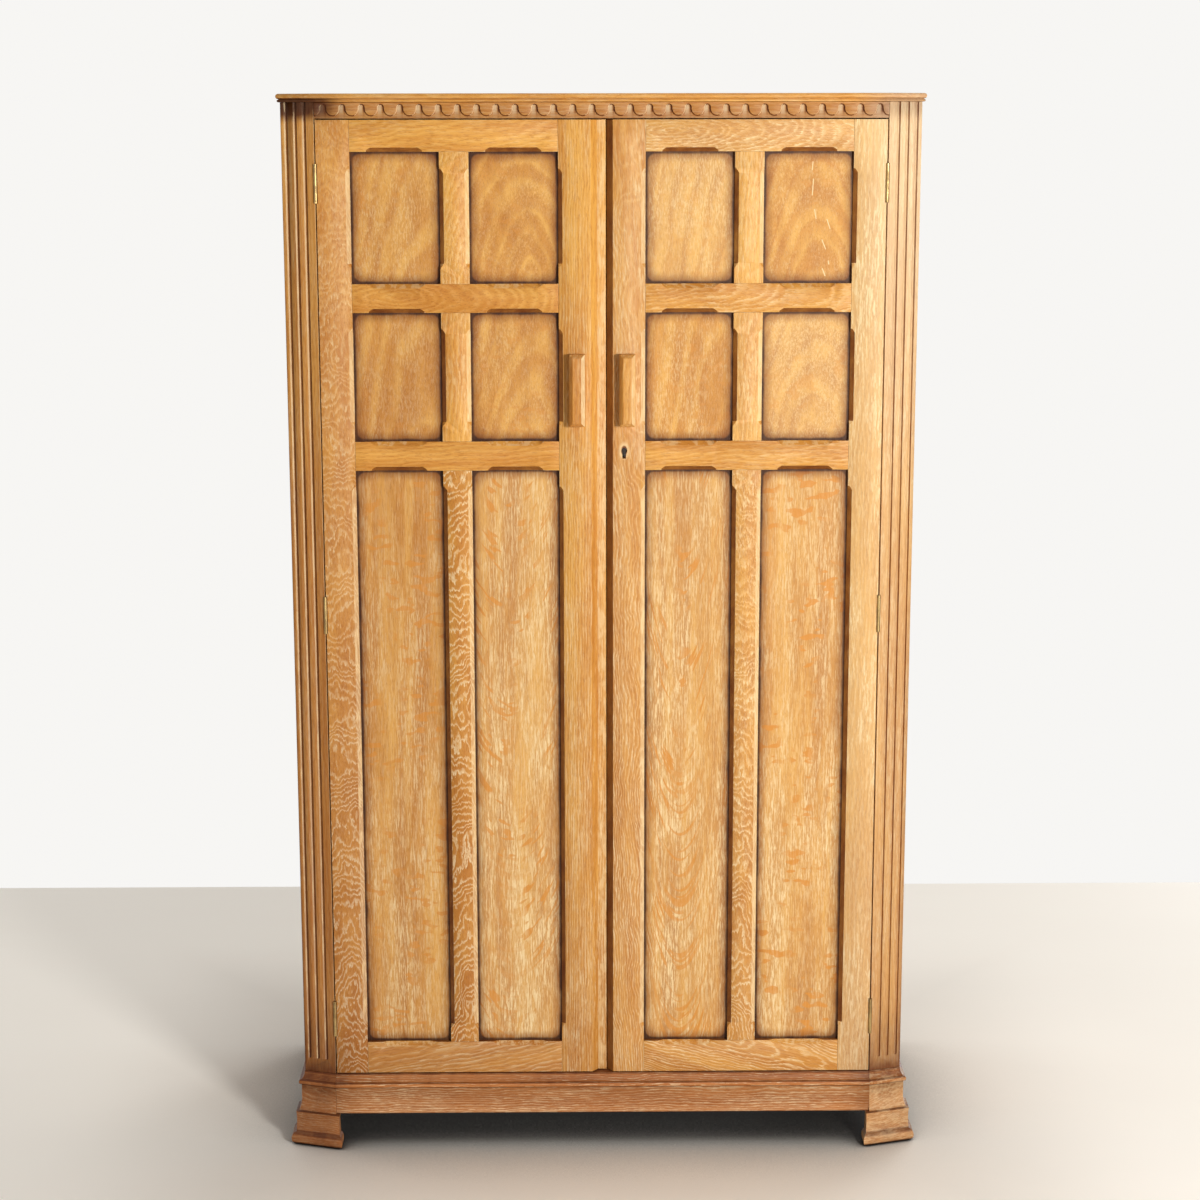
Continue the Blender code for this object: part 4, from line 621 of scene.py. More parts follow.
# doors
# heart: offset across, distance, slope along the grain, seed. look: rings, pores, brightness.
# board: ring step, lime all over, swirl. farLook: the look at the top or right end
doorMembers = {
    "left_hinge_stile": {
        "heart": (0.004, 0.240, 0.240, 1), "look": (1.35, 0.10, 0.67),
        "farLook": (0.10, 0.34, 0.96), "board": (0.0042, 0.0, 1.2)},
    "left_meeting_stile": {
        "heart": (0.160, 0.050, 0.020, 2), "look": (0.45, 0.58, 0.86),
        "farLook": (0.15, 0.30, 1.10), "board": (0.0046, 0.0, 0.3)},
    "left_top_rail": {"heart": (0.040, 0.060, 0.100, 3), "look": (0.08, 0.18, 1.08)},
    "left_upper_cross_rail": {"heart": (0.002, 0.040, 0.300, 4), "look": (0.08, 0.03, 0.98)},
    "left_lower_cross_rail": {"heart": (0.060, 0.050, 0.080, 5), "look": (0.06, 0.05, 1.00)},
    "left_bottom_rail": {
        "heart": (0.030, 0.040, 0.060, 6), "slant": 0.16, "look": (0.55, 0.20, 0.78),
        "board": (0.0062, 0.04, 0.8)},
    "left_upper_muntin": {"heart": (0.030, 0.040, 0.300, 7), "look": (0.18, 0.36, 1.10)},
    "left_middle_muntin": {"heart": (0.060, 0.060, 0.120, 8), "look": (0.16, 0.34, 1.07)},
    "left_lower_muntin": {
        "heart": (0.010, 0.150, 0.240, 9), "look": (1.25, 0.10, 0.79),
        "farLook": (1.10, 0.05, 0.92), "board": (0.0042, 0.0, 1.2)},
    "right_hinge_stile": {
        "heart": (-0.100, 0.060, 0.060, 11), "look": (0.15, 0.75, 0.88),
        "farLook": (0.15, 0.75, 1.08), "board": (0.0062, 0.26, 0.6)},
    "right_meeting_stile": {
        "heart": (0.050, 0.050, 0.020, 12), "slant": -0.05, "look": (0.75, 0.40, 0.84),
        "farLook": (0.20, 0.48, 0.93), "board": (0.0040, 0.03, 0.9)},
    "right_top_rail": {
        "heart": (0.010, 0.040, 0.220, 13), "look": (0.40, 0.46, 1.00), "board": (0.0050, 0.10, 0.7)},
    "right_upper_cross_rail": {"heart": (0.020, 0.040, 0.200, 14), "look": (0.35, 0.35, 0.98)},
    "right_lower_cross_rail": {"heart": (0.060, 0.050, 0.080, 15), "look": (0.18, 0.28, 1.00)},
    "right_bottom_rail": {
        "heart": (0.020, 0.040, 0.060, 16), "slant": -0.28, "look": (0.75, 0.22, 0.90),
        "board": (0.0042, 0.0, 0.8)},
    "right_upper_muntin": {
        "heart": (0.070, 0.060, 0.100, 17), "look": (0.10, 0.45, 1.07), "board": (0.0062, 0.05, 0.6)},
    "right_middle_muntin": {
        "heart": (0.050, 0.050, 0.150, 18), "look": (0.12, 0.45, 1.09), "board": (0.0062, 0.10, 0.6)},
    "right_lower_muntin": {
        "heart": (-0.008, 0.150, 0.240, 19), "look": (1.20, 0.25, 0.85),
        "farLook": (0.20, 0.60, 1.00), "board": (0.0042, 0.03, 1.2)},
}


# places across and depths below the doors' face in metres, then stain and lime of each kind of face;
# faces turned from the light get painted shade, chamfers towards it painted highlight
memberWear = {
    "lipSpan": (-0.0075, 0.0066), "lipDepth": (0.006, 0.016), "inside": 0.0125, "moulded": 0.0088,
    "meetingSpan": 0.024, "arrisDepth": 0.0008, "lip": (-0.35, 0.02), "meetingDark": (0.80, -0.6),
    "meetingLit": (0.0, -0.25), "arris": (-0.5, 0.0), "wall": (0.9, -0.5), "upward": (-0.35, -0.2),
    "lit": (-0.45, 0.40), "dark": 1.3, "darkLime": -0.7, "paleLime": 0.15,
}


def memberShade(face, point):
    wear, normal, middle = memberWear, face.normal, face.center
    sunk = middle.y - doorFace
    if wear["lipSpan"][0] < middle.x < wear["lipSpan"][1] and normal.y < -0.9:
        if wear["lipDepth"][0] < sunk < wear["lipDepth"][1]:
            return wear["lip"]
    if point.y > doorFace + wear["inside"] or sunk > wear["moulded"] or normal.y < -0.98:
        return 0.0, 0.0
    # the right door's bevel, turned from the light, gets painted shadow; the left door's, towards it, less
    # lime
    if abs(middle.x) < wear["meetingSpan"] and abs(normal.x) > 0.4:
        return wear["meetingDark" if normal.x < 0 else "meetingLit"]
    if sunk < wear["arrisDepth"]:
        return wear["arris"]
    # the walls down to the panels: dirt and painted shade of the recess
    if max(abs(normal.x), abs(normal.z)) > 0.95:
        return wear["wall"]  # down to the panels
    if normal.z > 0.3:
        return wear["upward"]  # chamfers that look up
    # painted highlight on the chamfers towards the light
    if normal.x > max(0.1, -normal.z):
        return wear["lit"]  # chamfers towards the light
    # painted shade on the chamfers turned down or away from the light
    dark = wear["dark"] * max(-normal.x, -normal.z, 0.0)
    return dark, wear["darkLime"] if dark > 0.2 else wear["paleLime"]


for nodeName, layout in doorMembers.items():
    layout |= {"axes": "xzy" if nodeName.endswith("rail") else "zxy", "shade": memberShade}
    woodPiece(nodeName, "frame_oak", layout)
print("door members:", len(doorMembers))

# two sheets for each pair of openings: heart, look, flecks and board of the left and of the right one
panelSheets = {
    "left_upper": (((0.05, 0.09, 0.25, 21), (0.0, 0.45, 0.98), 0.30, (0.020, 0.0, 0.7)),
                   ((0.02, 0.05, 0.45, 22), (0.0, 0.26, 1.00), 0.30, (0.018, 0.0, 0.8))),
    "left_middle": (((0.06, 0.10, 0.20, 23), (0.0, 0.38, 0.92), 0.25, (0.022, 0.0, 0.7)),
                    ((0.03, 0.07, 0.30, 24), (0.0, 0.36, 0.95), 0.40, (0.020, 0.0, 0.8))),
    "left_lower": (((0.30, 0.10, 0.05, 25), (0.0, 0.78, 0.91), 0.85, (0.080, 0.0, 0.6)),
                   ((0.25, 0.12, 0.04, 26), (0.0, 1.10, 0.96), 0.95, (0.080, 0.06, 0.6))),
    "right_upper": (((0.10, 0.09, 0.20, 27), (0.0, 0.52, 1.04), 0.25, (0.020, 0.12, 0.7)),
                    ((0.02, 0.06, 0.40, 28), (0.0, 0.38, 1.02), 0.30, (0.020, 0.0, 0.8))),
    "right_middle": (((0.08, 0.10, 0.20, 29), (0.0, 0.52, 1.0), 0.30, (0.022, 0.0, 0.7)),
                     ((0.02, 0.07, 0.40, 30), (0.0, 0.46, 1.02), 0.35, (0.020, 0.13, 0.8))),
    "right_lower": (((0.25, 0.12, 0.05, 31), (0.0, 1.06, 0.96), 1.0, (0.080, 0.06, 0.6)),
                    ((0.20, 0.12, 0.06, 32), (0.0, 0.94, 0.96), 1.0, (0.080, 0.05, 0.6))),
}
panelMake = {"bevel": 0.0004, "bevelSegments": 1, "muntinGap": 0.0002, "lowerLime": 0.30,
             "bows": {"right_lower": (42.0, 0.0), "left_lower": (0.0, 16.0)}}


def panelRoom(hand, row):
    # the four openings' edges, from the members round them
    below = {"upper": "upper_cross_rail", "middle": "lower_cross_rail", "lower": "bottom_rail"}[row]
    above = {"upper": "top_rail", "middle": "upper_cross_rail", "lower": "lower_cross_rail"}[row]
    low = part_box(f"{hand}_{below}")[1].z
    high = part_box(f"{hand}_{above}")[0].z
    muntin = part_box(f"{hand}_{row}_muntin")
    outer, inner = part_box(f"{hand}_hinge_stile"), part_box(f"{hand}_meeting_stile")
    if hand == "right":
        outer, inner = inner, outer
    return (outer[1].x, muntin[0].x), (muntin[1].x, inner[0].x), (low, high)


for name, sheets in panelSheets.items():
    hand, row = name.split("_")
    low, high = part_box(f"{name}_panel")
    leftRoom, rightRoom, upRoom = panelRoom(hand, row)
    seam, gap = (leftRoom[1] + rightRoom[0]) / 2, panelMake["muntinGap"]
    bm = bmesh.new()
    for start, end in ((low.x, seam - gap), (seam + gap, high.x)):
        addBox(bm, (start, low.y, low.z), (end, high.y, high.z))
    bevelEdges(bm, list(bm.edges), panelMake["bevel"], panelMake["bevelSegments"])
    mesh = placePiece(bm, f"{name}_panel_dressed", f"{hand}_door", oak["panel_oak"],
                      [f"{name}_panel"]).data
    points = cornerPoints(mesh)
    corners = len(points)
    grain, look, board, cell, room = np.zeros((5, corners, 3))
    flecks = np.zeros(corners)
    onLeft = points[:, 0] < seam
    bows = panelMake["bows"].get(name, (0.0, 0.0))
    for sheet, (start, end), bow, own in zip(sheets, (leftRoom, rightRoom), bows, (onLeft, ~onLeft)):
        (heart, depth, slope, seed), look[own], flecks[own], board[own] = sheet
        cell[own, 0] = points[own, 0] - (start + end) / 2
        cell[own, 1] = points[own, 2] - sum(upRoom) / 2
        cell[own, 2] = bow
        room[own] = ((end - start) / 2, (upRoom[1] - upRoom[0]) / 2, 0)
        grain[own, 0] = cell[own, 1] + seed * seedStep
        grain[own, 1] = cell[own, 0] - heart
        grain[own, 2] = depth + slope * cell[own, 1]
        if row == "lower":
            # more lime towards the floor
            look[own, 1] *= 1 - panelMake["lowerLime"] * cell[own, 1] / room[own, 1]
    # the rim is dark on the front only
    behind = [corner for face in mesh.polygons if face.normal.y > 0.5 for corner in face.loop_indices]
    cell[behind], room[behind] = 0, (1, 1, 0)
    for label, values in (("grain", grain), ("look", look), ("board", board), ("cell", cell), ("room", room),
                          ("shade", np.zeros(corners)), ("fleck", flecks)):
        put(mesh, label, values)
print("panels:", 2 * len(panelSheets))

# lit is painted highlight; dim and dimWall are painted shade
handleMake = {
    "arris": (0.0016, 3, 0.004), "heart": (0.05, 0.05, 0.05), "seed": {"left": 41, "right": 42},
    "look": {"left": (0.1, 0.30, 0.95), "right": (0.1, 0.25, 0.97)},
    "lit": {"left": (-0.8, 0.55), "right": (-0.4, 0.30)},
    "dim": (0.28, -0.1), "ends": (0.12, 0.0), "dimWall": (0.25, 0.0),
}


def handleShade(face, point):
    # painted highlight on the bevel towards the light, painted shade on the other bevel and the left side;
    # the top and bottom bevels a little darker
    normal = face.normal
    if normal.y < -0.97 or normal.y > -0.55:
        return handleMake["dimWall"] if normal.x < -0.5 else (0.0, 0.0)
    if normal.x > 0.3:
        return handleMake["lit"]["left" if point.x < 0 else "right"]
    return handleMake["dim" if normal.x < -0.3 else "ends"]


for hand in sides:
    layout = {"axes": "zxy", "heart": (*handleMake["heart"], handleMake["seed"][hand]),
              "look": handleMake["look"][hand], "shade": handleShade}
    woodPiece(f"{hand}_handle", "frame_oak", layout, handleMake["arris"])
print("handles:", len(sides))


# carcase front
splay = math.radians(17.5)
# the left post is darker and the right one paler and more limed: painted shade on the post turned from the
# light, painted sheen on the one towards it
postMake = {
    "left": {"look": (0.10, 0.20, 0.60), "farLook": (0.10, 0.26, 0.88), "board": (0.0062, 0.0, 0.4)},
    "right": {"look": (0.08, 0.44, 0.80), "farLook": (0.08, 0.60, 0.99), "board": (0.0062, 0.34, 0.4)},
}
postArris = (0.0007, 2, 0.03)
# stain and lime of a flute's walls and hollow: painted highlight on the wall towards the light,
# painted shade on the wall turned from it, and painted shade with dirt in the hollow
fluteWear = {
    "depth": 0.0031, "foot": 0.006, "footDarkening": 0.5, "sheenFall": -0.17,
    "left": {"lit": (-0.4, 0.65), "dim": (0.85, -0.3), "hollow": (0.65, -0.3)},
    "right": {"lit": (0.0, 0.0), "dim": (0.75, -0.3), "hollow": (0.15, 0.0)},
}


def postShade(face, point):
    side = 1 if point.x > 0 else -1
    out = Vector((side * math.sin(splay), -math.cos(splay), 0))
    along = Vector((math.cos(splay), side * math.sin(splay), 0))
    depth = -(point - Vector((side * postFoot.x, doorFace, 0))).dot(out)
    # darker in the last few millimetres above the post's foot
    low = fluteWear["footDarkening"] * max(0.0, 1 - (point.z - postFoot.z) / fluteWear["foot"])
    drop = (postHead.z - point.z) / (postHead.z - postFoot.z)
    # the right post is paler towards its top: painted sheen
    fade = fluteWear["sheenFall"] * drop if side > 0 else 0.0
    if face.normal.dot(out) > 0.999 or depth > fluteWear["depth"] or face.normal.y > -0.02:
        return low, fade
    lean = face.normal.dot(along)
    wall = "lit" if lean > 0.3 else "dim" if lean < -0.3 else "hollow"
    stainAndShade, limeAndHighlight = fluteWear["right" if side > 0 else "left"][wall]
    return low + stainAndShade, fade + limeAndHighlight


for hand, side in sides.items():
    layout = dict(postMake[hand], axes="zxy", heart=(side * 0.22, 0.06, 0.02, 50 + side), shade=postShade)
    woodPiece(f"{hand}_corner_post", "frame_oak", layout, postArris)

# hollow and round: width and segments of the edges at the slots' ground and at the face
friezeMake = {
    "hollow": (0.0016, 3), "round": (0.0007, 2), "sharp": 1.2, "level": 0.0001, "deepest": 0.0045,
    "shallow": 0.002, "ground": (0.22, 0.06), "face": (0.10, 0.0), "lit": (-0.25, 0.40),
    "dim": 0.30, "dimmer": 1.1, "dimLime": -0.2,
}


# painted highlight on faces towards the light, painted shade on faces turned down or from it; the sunk ground
# a little darker
def friezeShade(face, point):
    normal, depth = face.normal, face.center.y
    if depth > doorFace + friezeMake["deepest"] or abs(normal.y) < 0.02 and abs(normal.z) > 0.9:
        return 0.0, 0.0
    if normal.y < -0.97:
        return friezeMake["ground" if depth > doorFace + friezeMake["shallow"] else "face"]
    if normal.x > 0.3:
        return friezeMake["lit"]
    return friezeMake["dim"] + friezeMake["dimmer"] * max(-normal.x, -normal.z, 0.0), friezeMake["dimLime"]


def sharpEdges(bm):
    return [edge for edge in bm.edges if edge.is_manifold and edge.calc_face_angle() > friezeMake["sharp"]]


def edgesAt(bm, depth, convex):
    return [edge for edge in sharpEdges(bm) if edge.is_convex == convex
            and all(abs(vert.co.y - depth) < friezeMake["level"] for vert in edge.verts)]


bm = fetch("frieze_rail")
ground = max(vert.co.y for edge in sharpEdges(bm) for vert in edge.verts
             if vert.co.y < doorFace + friezeMake["deepest"])
foot = edgesAt(bm, ground, False)
bevelEdges(bm, foot, *friezeMake["hollow"])
rim = edgesAt(bm, doorFace, True)
bevelEdges(bm, rim, *friezeMake["round"])
print("frieze edges rounded:", len(foot), "and", len(rim))
placePiece(bm, "frieze_rail_dressed", "carcase", oak["frieze"], ["frieze_rail"],
           {"axes": "xzy", "heart": (0.09, 0.05, 0.02, 61), "look": (0.10, 0.30, 0.80), "shade": friezeShade})


# the darkened underside of the top board is painted shade as well as dirt
def topShade(face, point):
    return (0.3, 0.0) if face.normal.z < -0.6 else (0.0, 0.0)  # dirt on the underside


topMake = {"axes": "xyz", "heart": (0.10, 0.08, 0.03, 62), "look": (0.12, 0.30, 0.98), "shade": topShade}
woodPiece("top_board", "frame_oak", topMake, None)

plinthMake = {
    "moulding": 0.0245, "mouldingLime": -0.30, "underside": 0.5, "scuff": -0.22,
    "front": {"axes": "xzy", "heart": (0.012, 0.030, 0.015, 71), "look": (0.80, 0.46, 0.86),
              "board": (0.0042, 0.0, 0.45)},
    "side": {"axes": "yzx", "heart": (0.01, 0.03, 0.08, 72), "look": (0.5, 0.5, 1.0),
             "board": (0.0040, 0.0, 0.8)},
    "foot": {"axes": "xzy", "heart": (0.05, 0.04, 0.10, 75)},
}
# the left feet are darker and the right ones paler: painted shade away from the light, painted light towards
# it
footMake = {
    "left": {"look": (0.30, 0.26, 0.86), "board": (0.0040, 0.0, 0.6)},
    "right": {"look": (0.25, 0.40, 1.12), "board": (0.0040, 0.14, 0.6)},
}


# faces turned down get painted shade; the moulding less lime
def plinthShade(face, point):
    moulded = plinthTop - face.center.z < plinthMake["moulding"]
    stainAndShade = plinthMake["underside"] if face.normal.z < -0.5 else 0.0
    return stainAndShade, plinthMake["mouldingLime"] if moulded else 0.0


def footShade(face, point):
    # the right foot is scuffed where shoes and brooms reach it
    stainAndShade, limeAndHighlight = plinthShade(face, point)
    return plinthMake["scuff"] if point.x > 0 and stainAndShade == 0.0 else stainAndShade, limeAndHighlight


woodPiece("plinth_front_rail", "plinth_oak", dict(plinthMake["front"], shade=plinthShade), None)
for hand in sides:
    woodPiece(f"{hand}_plinth_rail", "plinth_oak", dict(plinthMake["side"], shade=plinthShade), None)
    for end in ("front", "rear"):
        layout = dict(plinthMake["foot"], **footMake[hand], shade=footShade)
        woodPiece(f"{hand}_{end}_foot", "plinth_oak", layout, None)
print("posts, frieze, top and plinth done")


# carcase boards
boardArris = (0.0008, 2, 0.02)
boards = {
    "left_side_panel": {"axes": "zyx", "heart": (0.20, 0.10, 0.08, 81), "look": (0.10, 0.55, 0.98),
                        "board": (0.016, 0.0, 0.8), "finish": "side"},
    "right_side_panel": {"axes": "zyx", "heart": (-0.10, 0.12, 0.07, 82), "look": (0.10, 0.55, 0.98),
                         "board": (0.016, 0.0, 0.8), "finish": "side"},
    "back_panel": {"axes": "zxy", "heart": (0.10, 0.20, 0.22, 83), "look": (0.0, 0.40, 0.86),
                   "board": (0.034, 0.0, 1.2)},
    "bottom_board": {"axes": "xyz", "heart": (0.05, 0.20, 0.10, 84), "look": (0.10, 0.45, 0.95),
                     "board": (0.014, 0.0, 0.8)},
    "hat_shelf": {"axes": "xyz", "heart": (0.12, 0.20, 0.10, 85), "look": (0.10, 0.45, 0.98),
                  "board": (0.014, 0.0, 0.8)},
}
for nodeName, layout in boards.items():
    woodPiece(nodeName, "carcase_wood", layout, boardArris)
print("boards:", len(boards))

# metalwork: metal and arris of each piece
leafNodes = [name for name in nodes if name.endswith("_leaf")]
metalPieces = {name: ("brass", None) for name in leafNodes}
metalPieces |= {
    "left_rail_socket": ("brass", (0.0008, 2, 0.002)), "right_rail_socket": ("brass", (0.0008, 2, 0.002)),
    "hanging_rail": ("steel", (0.0010, 2, 0.002)), "lock_case": ("steel", (0.0006, 2, 0.008)),
    "lock_bolt": ("brass", (0.0006, 2, 0.003)), "left_door_bolt": ("brass", (0.0006, 2, 0.003)),
}
for nodeName, (slotName, arris) in metalPieces.items():
    bm = fetch(nodeName)
    if arris:
        easeArrises(bm, *arris)
    placePiece(bm, f"{nodeName}_dressed", bodyOf[nodeName], metal[slotName], [nodeName])
print("hinge leaves:", len(leafNodes))

# screws and pins, each a low head that lies on its plate
screwMake = {"sunk": 0.0002, "floor": 0.00003, "floorShare": 0.98, "head": 0.00012, "slot": 0.00045,
             "points": 14}
hingeScrew = {"radius": 0.0032, "heights": (-0.0215, 0.0, 0.0215), "offsets": (-0.0025, 0.0025, -0.0025),
              "turns": (20, 75, 130), "leafWidth": 0.0171, "leafGap": 0.0003}
lockScrew = {"radius": 0.0026, "inset": 0.0060, "turns": (15, 60, 100, 150)}
socketScrew = {"radius": 0.0026, "flange": 0.004, "ring": 0.0203, "spread": (90, 210, 330), "turn": 25}
backPin = {"radius": 0.0017, "points": 10, "sunk": 0.0002, "head": 0.0003, "inset": 0.007, "step": 0.14}


def addDisc(bm, radius, points, low, high, matrix, slot=0.0):
    # a low round head; with a slot, the half of it that lies beyond the slot's edge
    middle = matrix @ Matrix.Translation((0, 0, (low + high) / 2))
    verts = bmesh.ops.create_cone(bm, cap_ends=True, segments=points, radius1=radius, radius2=radius,
                                  depth=high - low, matrix=middle)["verts"]
    faces = {face for vert in verts for face in vert.link_faces}
    if slot:
        edges = {edge for vert in verts for edge in vert.link_edges}
        cut = bmesh.ops.bisect_plane(
            bm, geom=[*verts, *edges, *faces], plane_co=matrix @ Vector((0, slot, 0)),
            plane_no=matrix.to_3x3() @ Vector((0, 1, 0)), clear_inner=True)
        rim = [item for item in cut["geom_cut"] if isinstance(item, bmesh.types.BMEdge)]
        bmesh.ops.contextual_create(bm, geom=rim)
    return faces


def standing(centre, outward, turn=0.0):
    return (Matrix.Translation(centre) @ Vector(outward).to_track_quat("Z", "Y").to_matrix().to_4x4()
            @ Matrix.Rotation(math.radians(turn), 4, "Z"))


def screws(name, body, slotName, radius, heads):
    bm = bmesh.new()
    grimeAndShade = bm.faces.layers.float.new("grimeAndShade")
    points, sunk = screwMake["points"], -screwMake["sunk"]
    for centre, outward, turn in heads:
        matrix = standing(centre, outward, turn)
        # the slot's floor is painted dark: painted shade in the slot
        for face in addDisc(bm, radius * screwMake["floorShare"], points, sunk, screwMake["floor"], matrix):
            face[grimeAndShade] = 1.0
        for half in (0, 180):
            halfTurn = Matrix.Rotation(math.radians(half), 4, "Z")
            addDisc(bm, radius, points, sunk, screwMake["head"], matrix @ halfTurn, screwMake["slot"])
    bmesh.ops.recalc_face_normals(bm, faces=bm.faces)
    placePiece(bm, name, body, metal[slotName])


for nodeName in leafNodes:
    low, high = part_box(nodeName)
    side = -1 if nodeName.startswith("left") else 1
    inward = -side if nodeName.endswith("door_leaf") else side
    # the leaves' inner faces lie a little to either side of the pin
    face = (low.x + high.x) / 2 + inward * hingeScrew["leafGap"]
    middle = Vector((face, high.y - hingeScrew["leafWidth"] / 2, (low.z + high.z) / 2))
    heads = [(middle + Vector((0, offset, height)), (-inward, 0, 0), turn) for height, offset, turn in
             zip(hingeScrew["heights"], hingeScrew["offsets"], hingeScrew["turns"])]
    screws(f"{nodeName}_screws", bodyOf[nodeName], "brass", hingeScrew["radius"], heads)

low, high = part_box("lock_case")
inset = lockScrew["inset"]
corners = [(x, z) for x in (low.x + inset, high.x - inset) for z in (low.z + inset, high.z - inset)]
screws("lock_screws", "right_door", "steel", lockScrew["radius"],
       [((x, high.y, z), (0, 1, 0), turn) for (x, z), turn in zip(corners, lockScrew["turns"])])

for hand, side in sides.items():
    low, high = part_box(f"{hand}_rail_socket")
    face = (low.x if side < 0 else high.x) - side * socketScrew["flange"]
    heads = []
    for turn in socketScrew["spread"]:
        swing = math.radians(turn)
        y = (low.y + high.y) / 2 + socketScrew["ring"] * math.cos(swing)
        z = (low.z + high.z) / 2 + socketScrew["ring"] * math.sin(swing)
        heads.append(((face, y, z), (-side, 0, 0), turn + socketScrew["turn"]))
    screws(f"{hand}_socket_screws", "carcase", "brass", socketScrew["radius"], heads)

low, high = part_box("back_panel")
inset = Vector((backPin["inset"], 0, backPin["inset"]))
low, high = low + inset, high - inset
wide, tall = high.x - low.x, high.z - low.z
acrossPins, upPins = round(wide / backPin["step"]), round(tall / backPin["step"])
spots = [(low.x + wide * i / acrossPins, z) for i in range(acrossPins + 1) for z in (low.z, high.z)]
spots += [(x, low.z + tall * i / upPins) for i in range(1, upPins) for x in (low.x, high.x)]
bm = bmesh.new()
for x, z in spots:
    addDisc(bm, backPin["radius"], backPin["points"], -backPin["sunk"], backPin["head"],
            standing((x, high.y, z), (0, 1, 0)))
placePiece(bm, "back_panel_pins", "carcase", metal["steel"])
print("screws and pins:", 3 * len(leafNodes) + 4 + 6, "and", len(spots))

# stage, light and camera
floorMake = {"wide": 7.0, "near": -9.0, "far": 1.26, "colour": (0.82, 0.780, 0.715, 1), "glow": 0.20,
             "nook": 0.36, "nookRays": 8, "nookLevels": (0.22, 0.86), "nookDark": 0.012, "paler": 1.08,
             "haze": ((1.2, 3.0, 1.0), 4.0, 0.55), "rough": 0.6, "gloss": 0.25,
             "clearSides": (0.50, 1.0), "clearFront": (-0.9, -0.30), "clearBack": (0.3, 0.9)}
bm = bmesh.new()
bmesh.ops.create_grid(bm, x_segments=1, y_segments=1, size=1.0)
bmesh.ops.scale(bm, vec=(floorMake["wide"], (floorMake["far"] - floorMake["near"]) / 2, 1), verts=bm.verts)
bmesh.ops.translate(bm, vec=(0, (floorMake["far"] + floorMake["near"]) / 2, 0), verts=bm.verts)
floorMesh = bpy.data.meshes.new("pale_floor")
bm.to_mesh(floorMesh)
bm.free()
floorMaterial, tree, shader = emptyMaterial("pale_floor")
spot = tree.nodes.new("ShaderNodeTexCoord").outputs["Object"]
haze = cloud(spot, *floorMake["haze"])[0]
paler = (*(channel * floorMake["paler"] for channel in floorMake["colour"][:3]), 1)
floorTone = tint(haze, floorMake["colour"], paler)
# painted shade on the floor, in the nook under the plinth that light never reaches
nook = tree.nodes.new("ShaderNodeAmbientOcclusion")
nook.samples = floorMake["nookRays"]
nook.inputs["Distance"].default_value = floorMake["nook"]
openness = ease(nook.outputs["AO"], *floorMake["nookLevels"], floorMake["nookDark"], 1.0)
floorTone = tint(1.0, floorTone, join(openness, openness, openness), "MULTIPLY")
feed(floorTone, shader.inputs["Base Color"])
shader.inputs["Roughness"].default_value = floorMake["rough"]
shader.inputs["Specular IOR Level"].default_value = floorMake["gloss"]
shader.inputs["Emission Color"].default_value = floorMake["colour"]
lightPath = tree.nodes.new("ShaderNodeLightPath")
# the camera sees the floor glow a little, but not where the wardrobe shades it
spotX, spotY = split(spot)[:2]
clear = ease(calc("ABSOLUTE", spotX), *floorMake["clearSides"])
clear = calc("MAXIMUM", clear, ease(spotY, *floorMake["clearFront"], 1.0, 0.0))
clear = calc("MAXIMUM", clear, ease(spotY, *floorMake["clearBack"]))
glow = times(lightPath.outputs["Is Camera Ray"], clear, floorMake["glow"])
feed(glow, shader.inputs["Emission Strength"])
floorMesh.materials.append(floorMaterial)
floor = bpy.data.objects.new("pale_floor", floorMesh)
scene.collection.objects.link(floor)

worldMake = {"fill": 0.25, "fillColour": (1.0, 0.985, 0.96, 1), "wall": (0.93, 0.92, 0.90, 1)}
world = bpy.data.worlds.new("white_room")
scene.world = world
world.use_nodes = True
tree = world.node_tree
tree.nodes.clear()
lightPath = tree.nodes.new("ShaderNodeLightPath")
seen = calc("MAXIMUM", lightPath.outputs["Is Camera Ray"], lightPath.outputs["Is Glossy Ray"])
seen = calc("MAXIMUM", seen, lightPath.outputs["Is Transmission Ray"])
fill = tree.nodes.new("ShaderNodeBackground")
fill.inputs[0].default_value = worldMake["fillColour"]
fill.inputs[1].default_value = worldMake["fill"]
wall = tree.nodes.new("ShaderNodeBackground")
wall.inputs[0].default_value = worldMake["wall"]
mixer = tree.nodes.new("ShaderNodeMixShader")
tree.links.new(seen, mixer.inputs[0])
tree.links.new(fill.outputs[0], mixer.inputs[1])
tree.links.new(wall.outputs[0], mixer.inputs[2])
tree.links.new(mixer.outputs[0], tree.nodes.new("ShaderNodeOutputWorld").inputs[0])

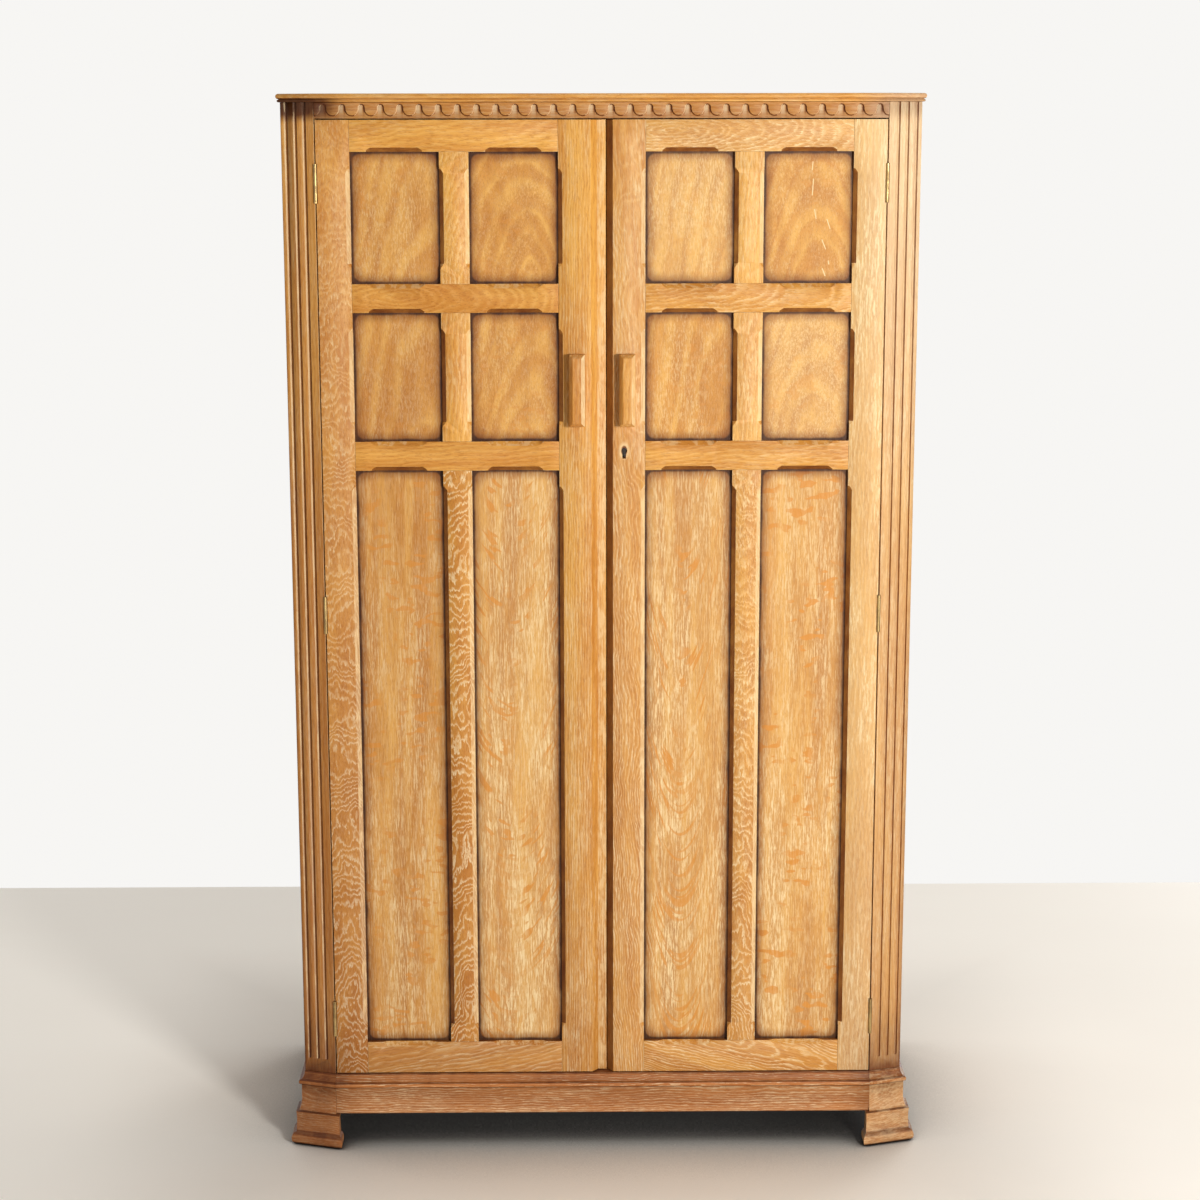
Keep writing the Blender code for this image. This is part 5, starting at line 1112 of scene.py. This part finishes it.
lampMake = {
    "key": {"from": (1.60, -3.35, 1.60), "to": (0.0, -0.22, 1.0), "size": (0.55, 0.75), "power": 110.0,
            "colour": (1.0, 0.985, 0.96)},
    "back": {"from": (2.6, 3.4, 1.4), "to": (0.0, 0.2, 0.9), "size": (1.6, 1.6), "power": 50.0,
             "colour": (1.0, 0.99, 0.98)},
    "over": {"from": (0.3, 0.55, 4.2), "to": (0.0, 0.1, 1.8), "size": (1.6, 1.2), "power": 28.0,
             "colour": (1.0, 0.99, 0.97)},
    "left": {"from": (-3.1, 1.3, 1.7), "to": (-0.5, 0.1, 0.9), "size": (1.6, 1.6), "power": 12.0,
             "colour": (1.0, 0.99, 0.98)},
}
for name, lamp in lampMake.items():
    light = bpy.data.lights.new(name, "AREA")
    light.shape = "RECTANGLE"
    light.size, light.size_y = lamp["size"]
    light.energy = lamp["power"]
    light.color = lamp["colour"]
    lampObject = bpy.data.objects.new(name, light)
    scene.collection.objects.link(lampObject)
    lampObject.location = lamp["from"]
    aim = Vector(lamp["to"]) - Vector(lamp["from"])
    lampObject.rotation_mode = "QUATERNION"
    lampObject.rotation_quaternion = aim.to_track_quat("-Z", "Y")

cameraMake = {"place": (-0.04683, -4.19685, 1.75102), "turn": -0.617, "tilt": -10.955, "roll": -0.085,
              "focal": 2379.8, "pixels": 1200, "sensor": 36.0}
cameraData = bpy.data.cameras.new("photo_camera")
cameraData.sensor_width = cameraMake["sensor"]
cameraData.lens = cameraMake["sensor"] * cameraMake["focal"] / cameraMake["pixels"]
camera = bpy.data.objects.new("photo_camera", cameraData)
scene.collection.objects.link(camera)
turn = Matrix.Rotation(math.radians(cameraMake["turn"]), 4, "Z")
tilt = Matrix.Rotation(math.radians(90 + cameraMake["tilt"]), 4, "X")
roll = Matrix.Rotation(math.radians(cameraMake["roll"]), 4, "Z")
camera.matrix_world = Matrix.Translation(cameraMake["place"]) @ turn @ tilt @ roll
scene.camera = camera
print("camera lens:", round(cameraData.lens, 2), "mm")
